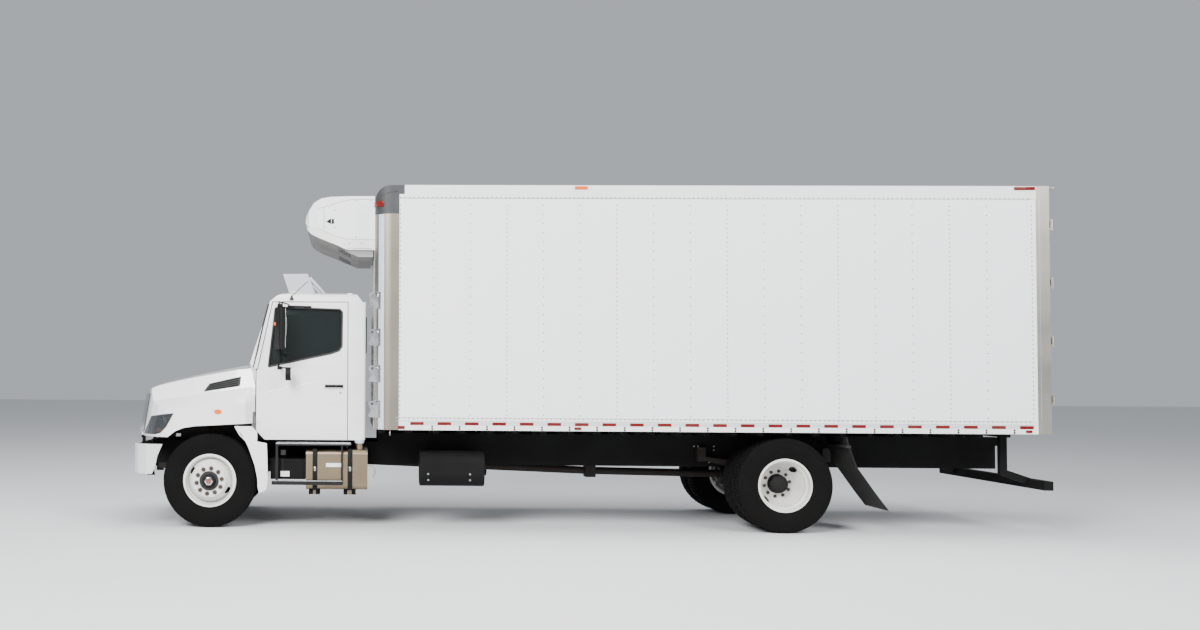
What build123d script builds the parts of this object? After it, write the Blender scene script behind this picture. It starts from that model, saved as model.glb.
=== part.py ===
from build123d import *
import math
import os

# Refrigerated truck: tilt hood, day cab, insulated box body and a cooling unit on the body's nose.
# Millimetres. +Z is up, the front points to -Y and the truck's left side is +X.
# The origin is on the ground, below the middle of the whole truck.

# Along the truck
wheelbase = 6400
front_overhang = 900
rear_overhang = 2930
y_bumper = -(front_overhang + wheelbase + rear_overhang) / 2
y_front_axle = y_bumper + front_overhang
y_rear_axle = y_front_axle + wheelbase
y_tail = y_rear_axle + rear_overhang

# Tyres and wheels
tyre_diameter = 1052
tyre_width = 279
rim_flange_diameter = 597
rim_width = 234
rim_seat_radius = 286
rim_well_radius = 262
rim_wall = 12
disc_offset = 167
disc_thickness = 12
pilot_radius = 110
hand_hole_across = 25
hand_hole_along = 43
hand_hole_circle_radius = 222
front_track = 2030
rear_outer_track = 2200
axle_height = tyre_diameter / 2
dual_spacing = 2 * disc_offset
rear_outer_x = rear_outer_track / 2
rear_inner_x = rear_outer_x - dual_spacing
rear_face_x = rear_outer_x - disc_offset
front_wheel_x = front_track / 2
front_face_x = front_wheel_x + disc_offset
hub_radius = 104
drum_radius = 212
drum_wall = 14
drum_length = 165
running_gap = 6
fit_gap = 0.3
pin_clearance = 0.06

# Steering
kingpin_x = 860
kingpin_radius = 22
knuckle_radius = 46
spindle_radius = 40
steering_arm_length = 190
tie_rod_drop = 112
tie_rod_radius = 18
ball_stud_radius = 12

# Frame
frame_half_width = 432
rail_depth = 266
rail_flange = 86
rail_wall = 10
frame_bottom = 673
frame_top = frame_bottom + rail_depth
y_frame_front = y_front_axle - 760
y_frame_rear = y_rear_axle + 2690

# Axles and springs
spring_width = 76
spring_thickness = 44
front_spring_x = 400
rear_spring_x = frame_half_width + 18 + spring_width / 2

# Box body
body_half_width = 1295
body_wall = 80
body_floor = 1117
body_height = 2733
body_top = body_floor + body_height
bottom_rail_height = 140
top_rail_height = 149
front_corner_radius = 180
front_post_length = 268
top_corner_radius = 170
y_body_front = y_front_axle + 1850
y_body_rear = y_tail - 60
rear_frame_depth = 145
rear_post_width = 90
door_gap = 8
center_gap = 12
cargo_door_thickness = 90
skin_step = 5

# Cab
cab_bottom = 985
cab_belt = 1840
cab_roof_edge = 2562
cab_roof_top = 2672
cab_half_width = 1018
y_door_front = y_front_axle + 512
y_door_rear = y_front_axle + 1546
y_cab_rear = y_front_axle + 1752
cab_wall = 80
floor_half_width = cab_half_width - 10 - cab_wall - 10
glass_thickness = 6

# Hood
hood_wall = 24
hood_bottom = 1011
y_hood_rear = y_front_axle + 498
hood_pivot_station = -882
hood_pivot_z = 984
hood_pin_radius = 12
hood_lug_radius = 17


def at_front(station, height):
    """Side-view point, given behind the front axle and above the ground."""
    return (y_front_axle + station, height)


def span_box(x_low, x_high, y_low, y_high, z_low, z_high, mode=Mode.ADD):
    """Box between two corners, in the part that is open."""
    with Locations(((x_low + x_high) / 2, (y_low + y_high) / 2, (z_low + z_high) / 2)):
        Box(x_high - x_low, y_high - y_low, z_high - z_low, mode=mode)


def side_plane(x):
    """Plane across the truck at x, drawn in Y and Z."""
    return Plane.YZ.offset(x)


def cross_plane(y):
    """Plane along the truck at y, drawn in X and Z; an extrusion from it runs forward."""
    return Plane.XZ.offset(-y)


def finish(part, name):
    """Label a finished piece and write it."""
    part.label = name
    export_step(part, f"parts/{name}.step")


# Frame rails: two channels, open side inwards
rail_section = [
    (frame_half_width, frame_bottom),
    (frame_half_width, frame_top),
    (frame_half_width - rail_flange, frame_top),
    (frame_half_width - rail_flange, frame_top - rail_wall),
    (frame_half_width - rail_wall, frame_top - rail_wall),
    (frame_half_width - rail_wall, frame_bottom + rail_wall),
    (frame_half_width - rail_flange, frame_bottom + rail_wall),
    (frame_half_width - rail_flange, frame_bottom),
]
with BuildPart() as frame_rails:
    with BuildSketch(cross_plane(y_frame_rear)):
        with BuildLine():
            Polyline(*rail_section, close=True)
        make_face()
    extrude(amount=y_frame_rear - y_frame_front)
    mirror(about=Plane.YZ)
finish(frame_rails.part, "frame_rails")

# Crossmembers, each a channel between the webs, and the plate that closes the frame's rear end
crossmember_stations = (-640, 1320, 1980, 2900, 3820, 4740, 5560, 7240, 8150, 8900)
crossmember_width = 90
crossmember_depth = 150
web_gap = frame_half_width - rail_wall
hitch_plate = 12
hitch_hole_radius = 9
hitch_spacing_x = 240
hitch_spacing_z = 90
crossmember_top = frame_top - rail_wall
crossmember_bottom = crossmember_top - crossmember_depth
with BuildPart() as frame_crossmembers:
    for station in crossmember_stations:
        y_member = y_front_axle + station
        span_box(-web_gap, web_gap, y_member, y_member + crossmember_width,
                 crossmember_bottom, crossmember_top)
        span_box(-web_gap, web_gap, y_member + rail_wall, y_member + crossmember_width,
                 crossmember_bottom + rail_wall, crossmember_top - rail_wall, mode=Mode.SUBTRACT)
    span_box(-frame_half_width, frame_half_width, y_frame_rear, y_frame_rear + hitch_plate,
             frame_bottom, frame_top)
    hitch_z = (frame_bottom + frame_top) / 2
    with Locations(Plane.XZ.offset(-y_frame_rear).shift_origin((0, y_frame_rear, hitch_z))):
        with GridLocations(hitch_spacing_x, hitch_spacing_z, 2, 2):
            Cylinder(hitch_hole_radius, 60, mode=Mode.SUBTRACT)
finish(frame_crossmembers.part, "frame_crossmembers")

# Body subframe: two long sills on the rails and the cross sills that they carry
long_sill_height = 100
sill_width = 60
sill_pitch = 300
sill_end_depth = 42
cross_sill_bottom = frame_top + long_sill_height
sill_count = 24
long_sill_outer = frame_half_width + 60
with BuildPart() as body_subframe:
    for side in (-1, 1):
        x_sill = side * (frame_half_width - rail_flange / 2)
        span_box(x_sill - rail_flange / 2, x_sill + rail_flange / 2, y_body_front + 60,
                 y_body_rear - rear_frame_depth, frame_top, cross_sill_bottom)
    for index in range(sill_count):
        y_sill = y_body_front + 60 + index * sill_pitch
        span_box(-long_sill_outer, long_sill_outer, y_sill, y_sill + sill_width, cross_sill_bottom - 1, body_floor)
        span_box(-body_half_width + 90, body_half_width - 90, y_sill, y_sill + sill_width,
                 body_floor - sill_end_depth, body_floor)
finish(body_subframe.part, "body_subframe")

# Engine and radiator: closed masses, plain blocks; gearbox behind the engine
with BuildPart() as engine_block:
    span_box(-330, 330, y_front_axle - 440, y_front_axle + 420, 690, 1440)
    span_box(-web_gap, web_gap, y_front_axle - 60, y_front_axle + 20, 750, 800)
    span_box(-395, 395, y_front_axle - 700, y_front_axle - 600, frame_top, 1440)
    span_box(-60, 60, y_front_axle - 600, y_front_axle - 440, 1000, 1300)
    span_box(-230, 230, y_front_axle + 420, y_front_axle + 690, 560, 930)
    with BuildSketch(cross_plane(y_front_axle + 1290)):
        with Locations((0, 720)):
            RectangleRounded(300, 320, 60)
    extrude(amount=600)
finish(engine_block.part, "engine_block")

# Driveshaft in two lengths with a centre bearing
shaft_radius = 45
shaft_points = [(1298, 700), (4480, 585), (6022, 560)]
with BuildPart() as driveshaft:
    for (s_start, z_start), (s_end, z_end) in zip(shaft_points[:-1], shaft_points[1:]):
        start = Vector(0, *at_front(s_start, z_start))
        end = Vector(0, *at_front(s_end, z_end))
        with BuildSketch(Plane(origin=start, z_dir=end - start)):
            Circle(shaft_radius)
        extrude(amount=(end - start).length)
    bearing_y, bearing_z = at_front(*shaft_points[1])
    span_box(-75, 75, bearing_y - 60, bearing_y + 60, bearing_z - 75, bearing_z + 75)
    span_box(-30, 30, bearing_y - 60, bearing_y + 60, bearing_z + 70, crossmember_bottom)
    span_box(-200, 200, bearing_y - 60, bearing_y + 60, crossmember_bottom - 14, crossmember_bottom)
    span_box(-200, 200, bearing_y - 60, y_front_axle + 4740 + 90, crossmember_bottom - 14,
             crossmember_bottom)
finish(driveshaft.part, "driveshaft")

# Front axle: dropped I-beam with a kingpin boss at each end
beam_half_length = kingpin_x - knuckle_radius + 6
beam_half_width = 55
boss_half_height = 52
beam_drop_top = axle_height - 36
beam_drop_bottom = beam_drop_top - 90
with BuildPart() as front_axle:
    with BuildSketch(cross_plane(y_front_axle + beam_half_width)):
        with BuildLine():
            Polyline(
                (-beam_half_length, axle_height + 45), (-beam_half_length, axle_height - 45),
                (-620, beam_drop_bottom), (620, beam_drop_bottom),
                (beam_half_length, axle_height - 45), (beam_half_length, axle_height + 45),
                (580, beam_drop_top), (-580, beam_drop_top), close=True,
            )
        make_face()
    extrude(amount=2 * beam_half_width)
    for face_y in (y_front_axle - beam_half_width, y_front_axle + beam_half_width - 38):
        span_box(-560, 560, face_y, face_y + 38, beam_drop_bottom + 16, beam_drop_top - 16,
                 mode=Mode.SUBTRACT)
    with Locations((-kingpin_x, y_front_axle, axle_height), (kingpin_x, y_front_axle, axle_height)):
        Cylinder(knuckle_radius, 2 * boss_half_height)
        Cylinder(kingpin_radius + pin_clearance, 4 * boss_half_height, mode=Mode.SUBTRACT)
finish(front_axle.part, "front_axle")

# Knuckles: two ears on a kingpin, spindle, brake plate and steering arm
ear_height = 38
ear_gap = 1
knuckle_web_x = kingpin_x + knuckle_radius + 6
brake_plate_x = knuckle_web_x + 26
brake_plate_radius = 190
spindle_end_x = front_face_x - 30
arm_width = 40
arm_top = axle_height - boss_half_height - ear_gap - 12
arm_thickness = 28
tie_rod_z = axle_height - tie_rod_drop
y_ball = y_front_axle + steering_arm_length
for side, side_name in ((1, "left"), (-1, "right")):
    with BuildPart() as knuckle:
        with Locations((side * kingpin_x, y_front_axle, axle_height)):
            Cylinder(kingpin_radius, 2 * (boss_half_height + ear_gap + ear_height))
        for ear_side in (-1, 1):
            ear_z = axle_height + ear_side * (boss_half_height + ear_gap + ear_height / 2)
            with Locations((side * kingpin_x, y_front_axle, ear_z)):
                Cylinder(knuckle_radius, ear_height)
            x_low, x_high = sorted((side * kingpin_x, side * (knuckle_web_x + 20)))
            span_box(x_low, x_high, y_front_axle - 40, y_front_axle + 40,
                     ear_z - ear_height / 2, ear_z + ear_height / 2)
        x_low, x_high = sorted((side * knuckle_web_x, side * (knuckle_web_x + 26)))
        span_box(x_low, x_high, y_front_axle - 45, y_front_axle + 45,
                 axle_height - boss_half_height - ear_height, axle_height + boss_half_height + ear_height)
        with BuildSketch(Plane.YZ.offset(side * knuckle_web_x)):
            with Locations((y_front_axle, axle_height)):
                Circle(spindle_radius)
        extrude(amount=side * (spindle_end_x - knuckle_web_x))
        with BuildSketch(Plane.YZ.offset(side * brake_plate_x)):
            with Locations((y_front_axle, axle_height)):
                Circle(brake_plate_radius)
        extrude(amount=side * 8)
        span_box(side * kingpin_x - arm_width / 2, side * kingpin_x + arm_width / 2, y_front_axle,
                 y_ball + arm_width / 2, arm_top - arm_thickness, arm_top)
        with Locations((side * kingpin_x, y_ball, arm_top - arm_thickness / 2)):
            Cylinder(ball_stud_radius + pin_clearance, 2 * arm_thickness, mode=Mode.SUBTRACT)
    finish(knuckle.part, f"knuckle_{side_name}")

# Tie rod with an upright stud at each end
with BuildPart() as tie_rod:
    with BuildSketch(Plane.YZ.offset(-kingpin_x)):
        with Locations((y_ball, tie_rod_z)):
            Circle(tie_rod_radius)
    extrude(amount=2 * kingpin_x)
    for side in (-1, 1):
        with Locations((side * kingpin_x, y_ball, tie_rod_z)):
            Cylinder(tie_rod_radius + 8, 2 * tie_rod_radius)
            Cylinder(ball_stud_radius, arm_top - tie_rod_z, align=(Align.CENTER, Align.CENTER, Align.MIN))
finish(tie_rod.part, "tie_rod")

# Rear axle: tubes, differential housing, brake plates and spindles
axle_tube_radius = 70
rear_spindle_radius = 58
rear_drum_inner_x = rear_face_x - disc_thickness - drum_length
rear_plate_x = rear_drum_inner_x - running_gap - 10
rear_spindle_end_x = rear_face_x + 60
with BuildPart() as rear_axle:
    with BuildSketch(Plane.YZ.offset(-rear_plate_x)):
        with Locations((y_rear_axle, axle_height)):
            Circle(axle_tube_radius)
    extrude(amount=2 * rear_plate_x)
    with BuildSketch(Plane.YZ.offset(-rear_spindle_end_x)):
        with Locations((y_rear_axle, axle_height)):
            Circle(rear_spindle_radius)
    extrude(amount=2 * rear_spindle_end_x)
    for side in (-1, 1):
        with BuildSketch(Plane.YZ.offset(side * rear_plate_x)):
            with Locations((y_rear_axle, axle_height)):
                Circle(brake_plate_radius)
        extrude(amount=side * 10)
    with BuildSketch(Plane.XZ.offset(-y_rear_axle - 150)):
        with Locations((0, axle_height)):
            Circle(195)
    extrude(amount=270)
    with BuildSketch(Plane.XZ.offset(-y_rear_axle + 120)):
        with Locations((0, axle_height + 15)):
            Circle(105)
    extrude(amount=y_rear_axle - 120 - at_front(6030, 0)[0])
finish(rear_axle.part, "rear_axle")

# Leaf springs with hangers, one solid at each wheel
with BuildPart() as leaf_springs:
    spring_table = (
        # x, axle y, half span, end height, middle height, pad bottom, hanger top
        (front_spring_x, y_front_axle, 640, 628, 540, beam_drop_top, frame_bottom),
        (rear_spring_x, y_rear_axle, 720, 760, 655, axle_height + axle_tube_radius - 8, 900),
    )
    for x, y_axle, half_span, z_end, z_middle, pad_bottom, hanger_top in spring_table:
        with BuildSketch(side_plane(x - spring_width / 2)):
            with BuildLine():
                ThreePointArc((y_axle - half_span, z_end), (y_axle, z_middle), (y_axle + half_span, z_end))
                Line((y_axle + half_span, z_end), (y_axle + half_span, z_end + spring_thickness))
                ThreePointArc((y_axle + half_span, z_end + spring_thickness),
                              (y_axle, z_middle + spring_thickness + 40),
                              (y_axle - half_span, z_end + spring_thickness))
                Line((y_axle - half_span, z_end + spring_thickness), (y_axle - half_span, z_end))
            make_face()
        extrude(amount=spring_width)
        for y_hanger in (y_axle - half_span, y_axle + half_span):
            x_inner = frame_half_width if hanger_top > frame_bottom else x - spring_width / 2
            span_box(x_inner, x + spring_width / 2, y_hanger - 45, y_hanger + 45, z_end - 20, hanger_top)
        span_box(x - spring_width / 2 - 8, x + spring_width / 2 + 8, y_axle - 90, y_axle + 90,
                 z_middle + 20, z_middle + spring_thickness + 60)
        span_box(x - spring_width / 2, x + spring_width / 2, y_axle - 50, y_axle + 50,
                 pad_bottom, z_middle + 20)
    with BuildSketch(Plane.YZ.offset(rear_spring_x - spring_width)):
        with Locations((y_rear_axle, axle_height)):
            Circle(axle_tube_radius + fit_gap)
    extrude(amount=2 * spring_width, mode=Mode.SUBTRACT)
    mirror(about=Plane.YZ)
finish(leaf_springs.part, "leaf_springs")


def closed_outline(points):
    """Edges of a closed outline through plane points."""
    with BuildLine() as outline:
        Polyline(*points, close=True)
    return outline.line.edges()


def tyre_profile(x_center):
    """Half section of a tyre, drawn with the radius upwards from the axle."""
    half = tyre_width / 2
    bead = half - 26
    inner = rim_flange_diameter / 2 + fit_gap
    outer = tyre_diameter / 2
    with BuildLine() as outline:
        ThreePointArc((x_center - bead, inner), (x_center - half, inner + 105), (x_center - half + 20, outer - 24))
        Line((x_center - half + 20, outer - 24), (x_center - half + 40, outer))
        Line((x_center - half + 40, outer), (x_center + half - 40, outer))
        Line((x_center + half - 40, outer), (x_center + half - 20, outer - 24))
        ThreePointArc((x_center + half - 20, outer - 24), (x_center + half, inner + 105), (x_center + bead, inner))
        Line((x_center + bead, inner), (x_center - bead, inner))
    return outline.line.edges()


def rim_profile(x_center):
    """Half section of a rim with its two flanges, seats and well."""
    half = rim_width / 2
    flange = rim_flange_diameter / 2
    outside = [(half, flange), (half - 12, flange), (half - 16, rim_seat_radius),
               (half - 56, rim_seat_radius - 3), (half - 70, rim_well_radius)]
    inside = [(half - 78, rim_well_radius - rim_wall), (half - 60, rim_seat_radius - rim_wall - 3),
              (half, rim_seat_radius - rim_wall)]
    points = [(x_center + x, r) for x, r in outside]
    points += [(x_center - x, r) for x, r in reversed(outside)]
    points += [(x_center - x, r) for x, r in reversed(inside)]
    points += [(x_center + x, r) for x, r in inside]
    return closed_outline(points)


def disc_profile(x_center, outward):
    """Half section of a wheel disc, dished to its mounting face on the side that outward gives."""
    x_face = x_center + outward * disc_offset
    back = -outward * disc_thickness
    root = x_center + outward * 12
    well = rim_well_radius - rim_wall + 2
    points = [(root, well), (x_face - outward * 40, 212), (x_face, 182), (x_face, pilot_radius),
              (x_face + back, pilot_radius), (x_face + back, 176), (x_face - outward * 40 + back, 200),
              (root + back, well)]
    return closed_outline(points)


# Wheels and tyres
for side, side_name in ((1, "left"), (-1, "right")):
    front_plane = Plane(origin=(0, y_front_axle, axle_height), x_dir=(1, 0, 0), z_dir=(0, -1, 0))
    rear_plane = Plane(origin=(0, y_rear_axle, axle_height), x_dir=(1, 0, 0), z_dir=(0, -1, 0))
    front_spin = Axis((0, y_front_axle, axle_height), (1, 0, 0))
    rear_spin = Axis((0, y_rear_axle, axle_height), (1, 0, 0))

    with BuildPart() as tyre_front:
        with BuildSketch(front_plane):
            make_face(tyre_profile(side * front_wheel_x))
        revolve(axis=front_spin)
    finish(tyre_front.part, f"tyre_front_{side_name}")

    hub_back = brake_plate_x + 8 + running_gap
    drum_back = hub_back
    front_hub = [
        (side * hub_back, spindle_radius + fit_gap), (side * (spindle_end_x + 12), spindle_radius + fit_gap),
        (side * (spindle_end_x + 12), 0), (side * (front_face_x + 48), 0), (side * (front_face_x + 48), 58),
        (side * (front_face_x + 36), 70), (side * (front_face_x + 12), 74), (side * (front_face_x + 12), hub_radius),
        (side * (front_face_x - disc_thickness), hub_radius), (side * (front_face_x - disc_thickness), 168),
        (side * (front_face_x - 40), 180), (side * (front_face_x - 60), drum_radius),
        (side * drum_back, drum_radius), (side * drum_back, drum_radius - drum_wall),
        (side * (front_face_x - 72), drum_radius - drum_wall), (side * (front_face_x - 50), 160),
        (side * (front_face_x - 50), hub_radius - 20), (side * hub_back, hub_radius - 20),
    ]
    with BuildPart() as wheel_front:
        with BuildSketch(front_plane):
            make_face(rim_profile(side * front_wheel_x))
        revolve(axis=front_spin)
        with BuildSketch(front_plane):
            make_face(disc_profile(side * front_wheel_x, side))
        revolve(axis=front_spin)
        with BuildSketch(Plane.YZ.offset(side * front_wheel_x)):
            with Locations((y_front_axle, axle_height)):
                with PolarLocations(hand_hole_circle_radius, 2, start_angle=-29):
                    Ellipse(hand_hole_across, hand_hole_along)
        extrude(amount=side * disc_offset, mode=Mode.SUBTRACT)
        with BuildSketch(front_plane):
            make_face(closed_outline(front_hub))
        revolve(axis=front_spin)
    finish(wheel_front.part, f"wheel_front_{side_name}")

    with BuildPart() as tyres_rear:
        for x_tyre in (rear_outer_x, rear_inner_x):
            with BuildSketch(rear_plane):
                make_face(tyre_profile(side * x_tyre))
            revolve(axis=rear_spin)
    finish(tyres_rear.part, f"tyres_rear_{side_name}")

    rear_hub = [
        (side * (rear_drum_inner_x + 20), rear_spindle_radius + fit_gap),
        (side * (rear_spindle_end_x + 10), rear_spindle_radius + fit_gap),
        (side * (rear_spindle_end_x + 10), 0), (side * (rear_face_x + 100), 0),
        (side * (rear_face_x + 100), 70), (side * (rear_face_x + 88), 84), (side * (rear_face_x + 88), 96),
        (side * (rear_face_x + 74), 96), (side * (rear_face_x + 74), 84), (side * (rear_face_x + 14), hub_radius),
        (side * (rear_face_x - disc_thickness), hub_radius), (side * (rear_face_x - disc_thickness), drum_radius),
        (side * rear_drum_inner_x, drum_radius), (side * rear_drum_inner_x, drum_radius - drum_wall),
        (side * (rear_face_x - disc_thickness - 16), drum_radius - drum_wall),
        (side * (rear_face_x - disc_thickness - 16), hub_radius - 14),
        (side * (rear_drum_inner_x + 20), hub_radius - 14),
    ]
    with BuildPart() as wheels_rear:
        for x_rim, outward in ((rear_outer_x, -side), (rear_inner_x, side)):
            with BuildSketch(rear_plane):
                make_face(rim_profile(side * x_rim))
            revolve(axis=rear_spin)
            with BuildSketch(rear_plane):
                make_face(disc_profile(side * x_rim, outward))
            revolve(axis=rear_spin)
        with BuildSketch(Plane.YZ.offset(side * rear_inner_x)):
            with Locations((y_rear_axle, axle_height)):
                with PolarLocations(hand_hole_circle_radius, 2, start_angle=48):
                    Ellipse(hand_hole_across, hand_hole_along)
        extrude(amount=side * dual_spacing, mode=Mode.SUBTRACT)
        with BuildSketch(rear_plane):
            make_face(closed_outline(rear_hub))
        revolve(axis=rear_spin)
    finish(wheels_rear.part, f"wheels_rear_{side_name}")

# Front bumper: swept back at its ends, cut back below
bumper_bottom = 600
bumper_top = 935
bumper_wall = 10
bumper_half_width = 1215
bumper_sweep = [(0, 0), (800, 4), (980, 28), (1100, 86), (1180, 186), (bumper_half_width, 372)]


def bumper_edge(inset):
    """Plan points of one face of the bumper, at an inset from its outer face."""
    right = [(x - inset * x / bumper_half_width, y_bumper + back + inset) for x, back in bumper_sweep]
    return [(-x, y) for x, y in reversed(right[1:])] + right


with BuildPart() as front_bumper:
    with BuildSketch(Plane.XY.offset(bumper_bottom)):
        with BuildLine():
            Polyline(*bumper_edge(0), *reversed(bumper_edge(bumper_wall)), close=True)
        make_face()
    extrude(amount=bumper_top - bumper_bottom)
    with BuildSketch(side_plane(-2 * bumper_half_width)):
        with BuildLine():
            Polyline(
                (y_bumper, bumper_bottom + 30), (y_bumper + 40, bumper_bottom),
                at_front(-646, bumper_bottom), at_front(-606, 690), at_front(-586, 800),
                at_front(-528, bumper_top), (y_bumper + 30, bumper_top), (y_bumper, bumper_top - 40), close=True,
            )
        make_face()
    extrude(amount=4 * bumper_half_width, mode=Mode.INTERSECT)
finish(front_bumper.part, "front_bumper")

# Front brackets: bumper arms with the hood's pivot pins, and the tow eyes
bracket_width = 40
hood_lug_width = 18
tow_eye_radius = 20
tow_eye_x = 360
tow_eye_z = 565
tow_eye_thickness = 25
y_tow_eye = y_bumper + 120
y_pivot = y_front_axle + hood_pivot_station
with BuildPart() as front_brackets:
    for side in (-1, 1):
        x_low, x_high = sorted((side * (frame_half_width - bracket_width), side * frame_half_width))
        span_box(x_low, x_high, y_bumper + bumper_wall + 2, y_frame_front, frame_bottom + 20, frame_top - 20)
        span_box(x_low, x_high, y_pivot - 1, y_pivot + 2 * hood_lug_radius, frame_top - 30, hood_pivot_z)
        with BuildSketch(side_plane(x_low)):
            with Locations((y_pivot + 1, hood_pivot_z)):
                Circle(hood_lug_radius - 1)
        extrude(amount=bracket_width)
        with BuildSketch(side_plane(side * (frame_half_width - bracket_width))):
            with Locations((y_pivot, hood_pivot_z)):
                Circle(hood_pin_radius)
        extrude(amount=-side * (hood_lug_width + 8))
    for side in (-1, 1):
        with BuildSketch(side_plane(side * tow_eye_x - tow_eye_thickness / 2)):
            with BuildLine():
                Polyline((y_tow_eye - 50, tow_eye_z - 45), (y_tow_eye - 50, tow_eye_z + 30),
                         (y_frame_front, frame_bottom), (y_frame_front + 70, frame_bottom),
                         (y_frame_front + 70, frame_bottom - 30), (y_frame_front, frame_bottom - 60),
                         (y_tow_eye + 40, tow_eye_z - 45), close=True)
            make_face()
            with Locations((y_tow_eye, tow_eye_z)):
                Circle(tow_eye_radius, mode=Mode.SUBTRACT)
        extrude(amount=tow_eye_thickness)
    add(front_bumper.part, mode=Mode.SUBTRACT)
finish(front_brackets.part, "front_brackets")

# Hood: sections across it, from the nose to the cowl
hood_sections = (
    # station, crown z, shoulder x, shoulder z, waist x, waist z, edge x, edge z
    (-910, 1505, 560, 1492, 800, 1395, 1120, 1270),
    (-660, 1620, 640, 1588, 850, 1415, 1172, 1300),
    (-220, 1724, 800, 1684, 920, 1485, 1190, 1345),
    (280, 1823, 900, 1775, 975, 1556, 1190, 1395),
    (400, 1838, 920, 1787, 990, 1572, 1165, 1405),
    (498, 1842, 935, 1795, 1000, 1585, 1024, 1420),
)
hood_nose_plan = [(0, -905), (300, -895), (500, -872), (546, -859), (700, -820), (850, -763), (1000, -672),
                  (1090, -575), (1150, -455), (1190, -330), (1215, -220)]
grille_half_width = 540
grille_bottom = 1042
grille_top = 1500
nose_low = 960
nose_high = 1524
nose_rise_back = 93
nose_slope = nose_rise_back / (nose_high - nose_low)


def hood_form(inset):
    """Closed outer form of the hood, drawn in by an inset."""
    with BuildPart() as form:
        for station, crown, shoulder_x, shoulder_z, waist_x, waist_z, edge_x, edge_z in hood_sections:
            with BuildSketch(cross_plane(y_front_axle + station)):
                right = [(shoulder_x - inset * 0.6, shoulder_z - inset), (waist_x - inset, waist_z - inset * 0.8),
                         (edge_x - inset, edge_z - inset * 0.5), (edge_x - inset, hood_bottom - inset)]
                left = [(-x, z) for x, z in reversed(right)]
                with BuildLine():
                    Polyline((0, crown - inset), *right, *left, close=True)
                make_face()
        loft(ruled=True)
        with BuildSketch(Plane.XY.offset(nose_low)):
            nose = [(x - inset * 0.5, y_front_axle + back + inset) for x, back in hood_nose_plan]
            with BuildLine():
                Polyline(*[(-x, y) for x, y in reversed(nose[1:])], (0, nose[0][1]), *nose[1:],
                         (1260, y_hood_rear), (-1260, y_hood_rear), close=True)
            make_face()
        leaning = Vector(0, nose_slope, 1)
        extrude(amount=1200 * leaning.length, dir=leaning.normalized(), mode=Mode.INTERSECT)
        with BuildSketch(side_plane(-1300)):
            with BuildLine():
                Polyline(
                    at_front(-905 + inset, nose_low), at_front(-816 + inset, grille_top),
                    at_front(-775 + inset, 1545 - inset), at_front(-735 + inset, 1572 - inset),
                    at_front(-660, 1700), at_front(600, 1950),
                    at_front(600, nose_low), close=True,
                )
            make_face()
        extrude(amount=2600, mode=Mode.INTERSECT)
    return form.part


arch_line = [(-480, hood_bottom - 60), (-480, hood_bottom), (-394, 1078), (-294, 1119), (-153, 1140),
             (49, 1150), (261, 1163), (520, 1173), (520, hood_bottom - 60)]
hood_outer = hood_form(0)
hood_inner = hood_form(hood_wall)
headlight_outline = [(-960, 1215), (-710, 1239), (-539, 1268), (-409, 1282), (-496, 1128), (-565, 1055),
                     (-636, 1034), (-775, 1030), (-960, 1028)]
headlight_inner_edge = [(596, 1000), (770, 1150), (868, 1245), (900, 1300)]
vent_inner_x = 640
vent_outline = [(-104, 1522), (-38, 1616), (331, 1701), (322, 1588)]
lamp_gap = 2


def outline_prism(points, x_low, x_high):
    """Solid of a side-view outline between two planes across the truck."""
    with BuildPart() as prism:
        with BuildSketch(side_plane(x_low)):
            with BuildLine():
                Polyline(*[at_front(*point) for point in points], close=True)
            make_face()
        extrude(amount=x_high - x_low)
    return prism.part


def lamp_region(gap):
    """Region of the left headlight, seen from the side and from the front, at a gap from its inner edge."""
    with BuildPart() as region:
        add(outline_prism(headlight_outline, headlight_inner_edge[0][0], 1300))
        with BuildSketch(cross_plane(y_front_axle)):
            with BuildLine():
                Polyline(*[(x + gap, z) for x, z in headlight_inner_edge], (1300, 1300), (1300, 1000), close=True)
            make_face()
        extrude(amount=1000, mode=Mode.INTERSECT)
    return region.part


hood_rear_plan = [(0, 348), (500, 375), (900, 425), (960, 470), (1000, 498)]


def rear_region(gap):
    """Region behind the hood's rear edge, at a gap from it."""
    right = [(x, y_front_axle + s + gap) for x, s in hood_rear_plan]
    with BuildPart() as region:
        with BuildSketch(Plane.XY.offset(1500)):
            with BuildLine():
                Polyline(*right, (1000, y_hood_rear + 60), (-1000, y_hood_rear + 60),
                         *[(-x, y) for x, y in reversed(right[1:])], close=True)
            make_face()
        extrude(amount=500)
    return region.part


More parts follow.
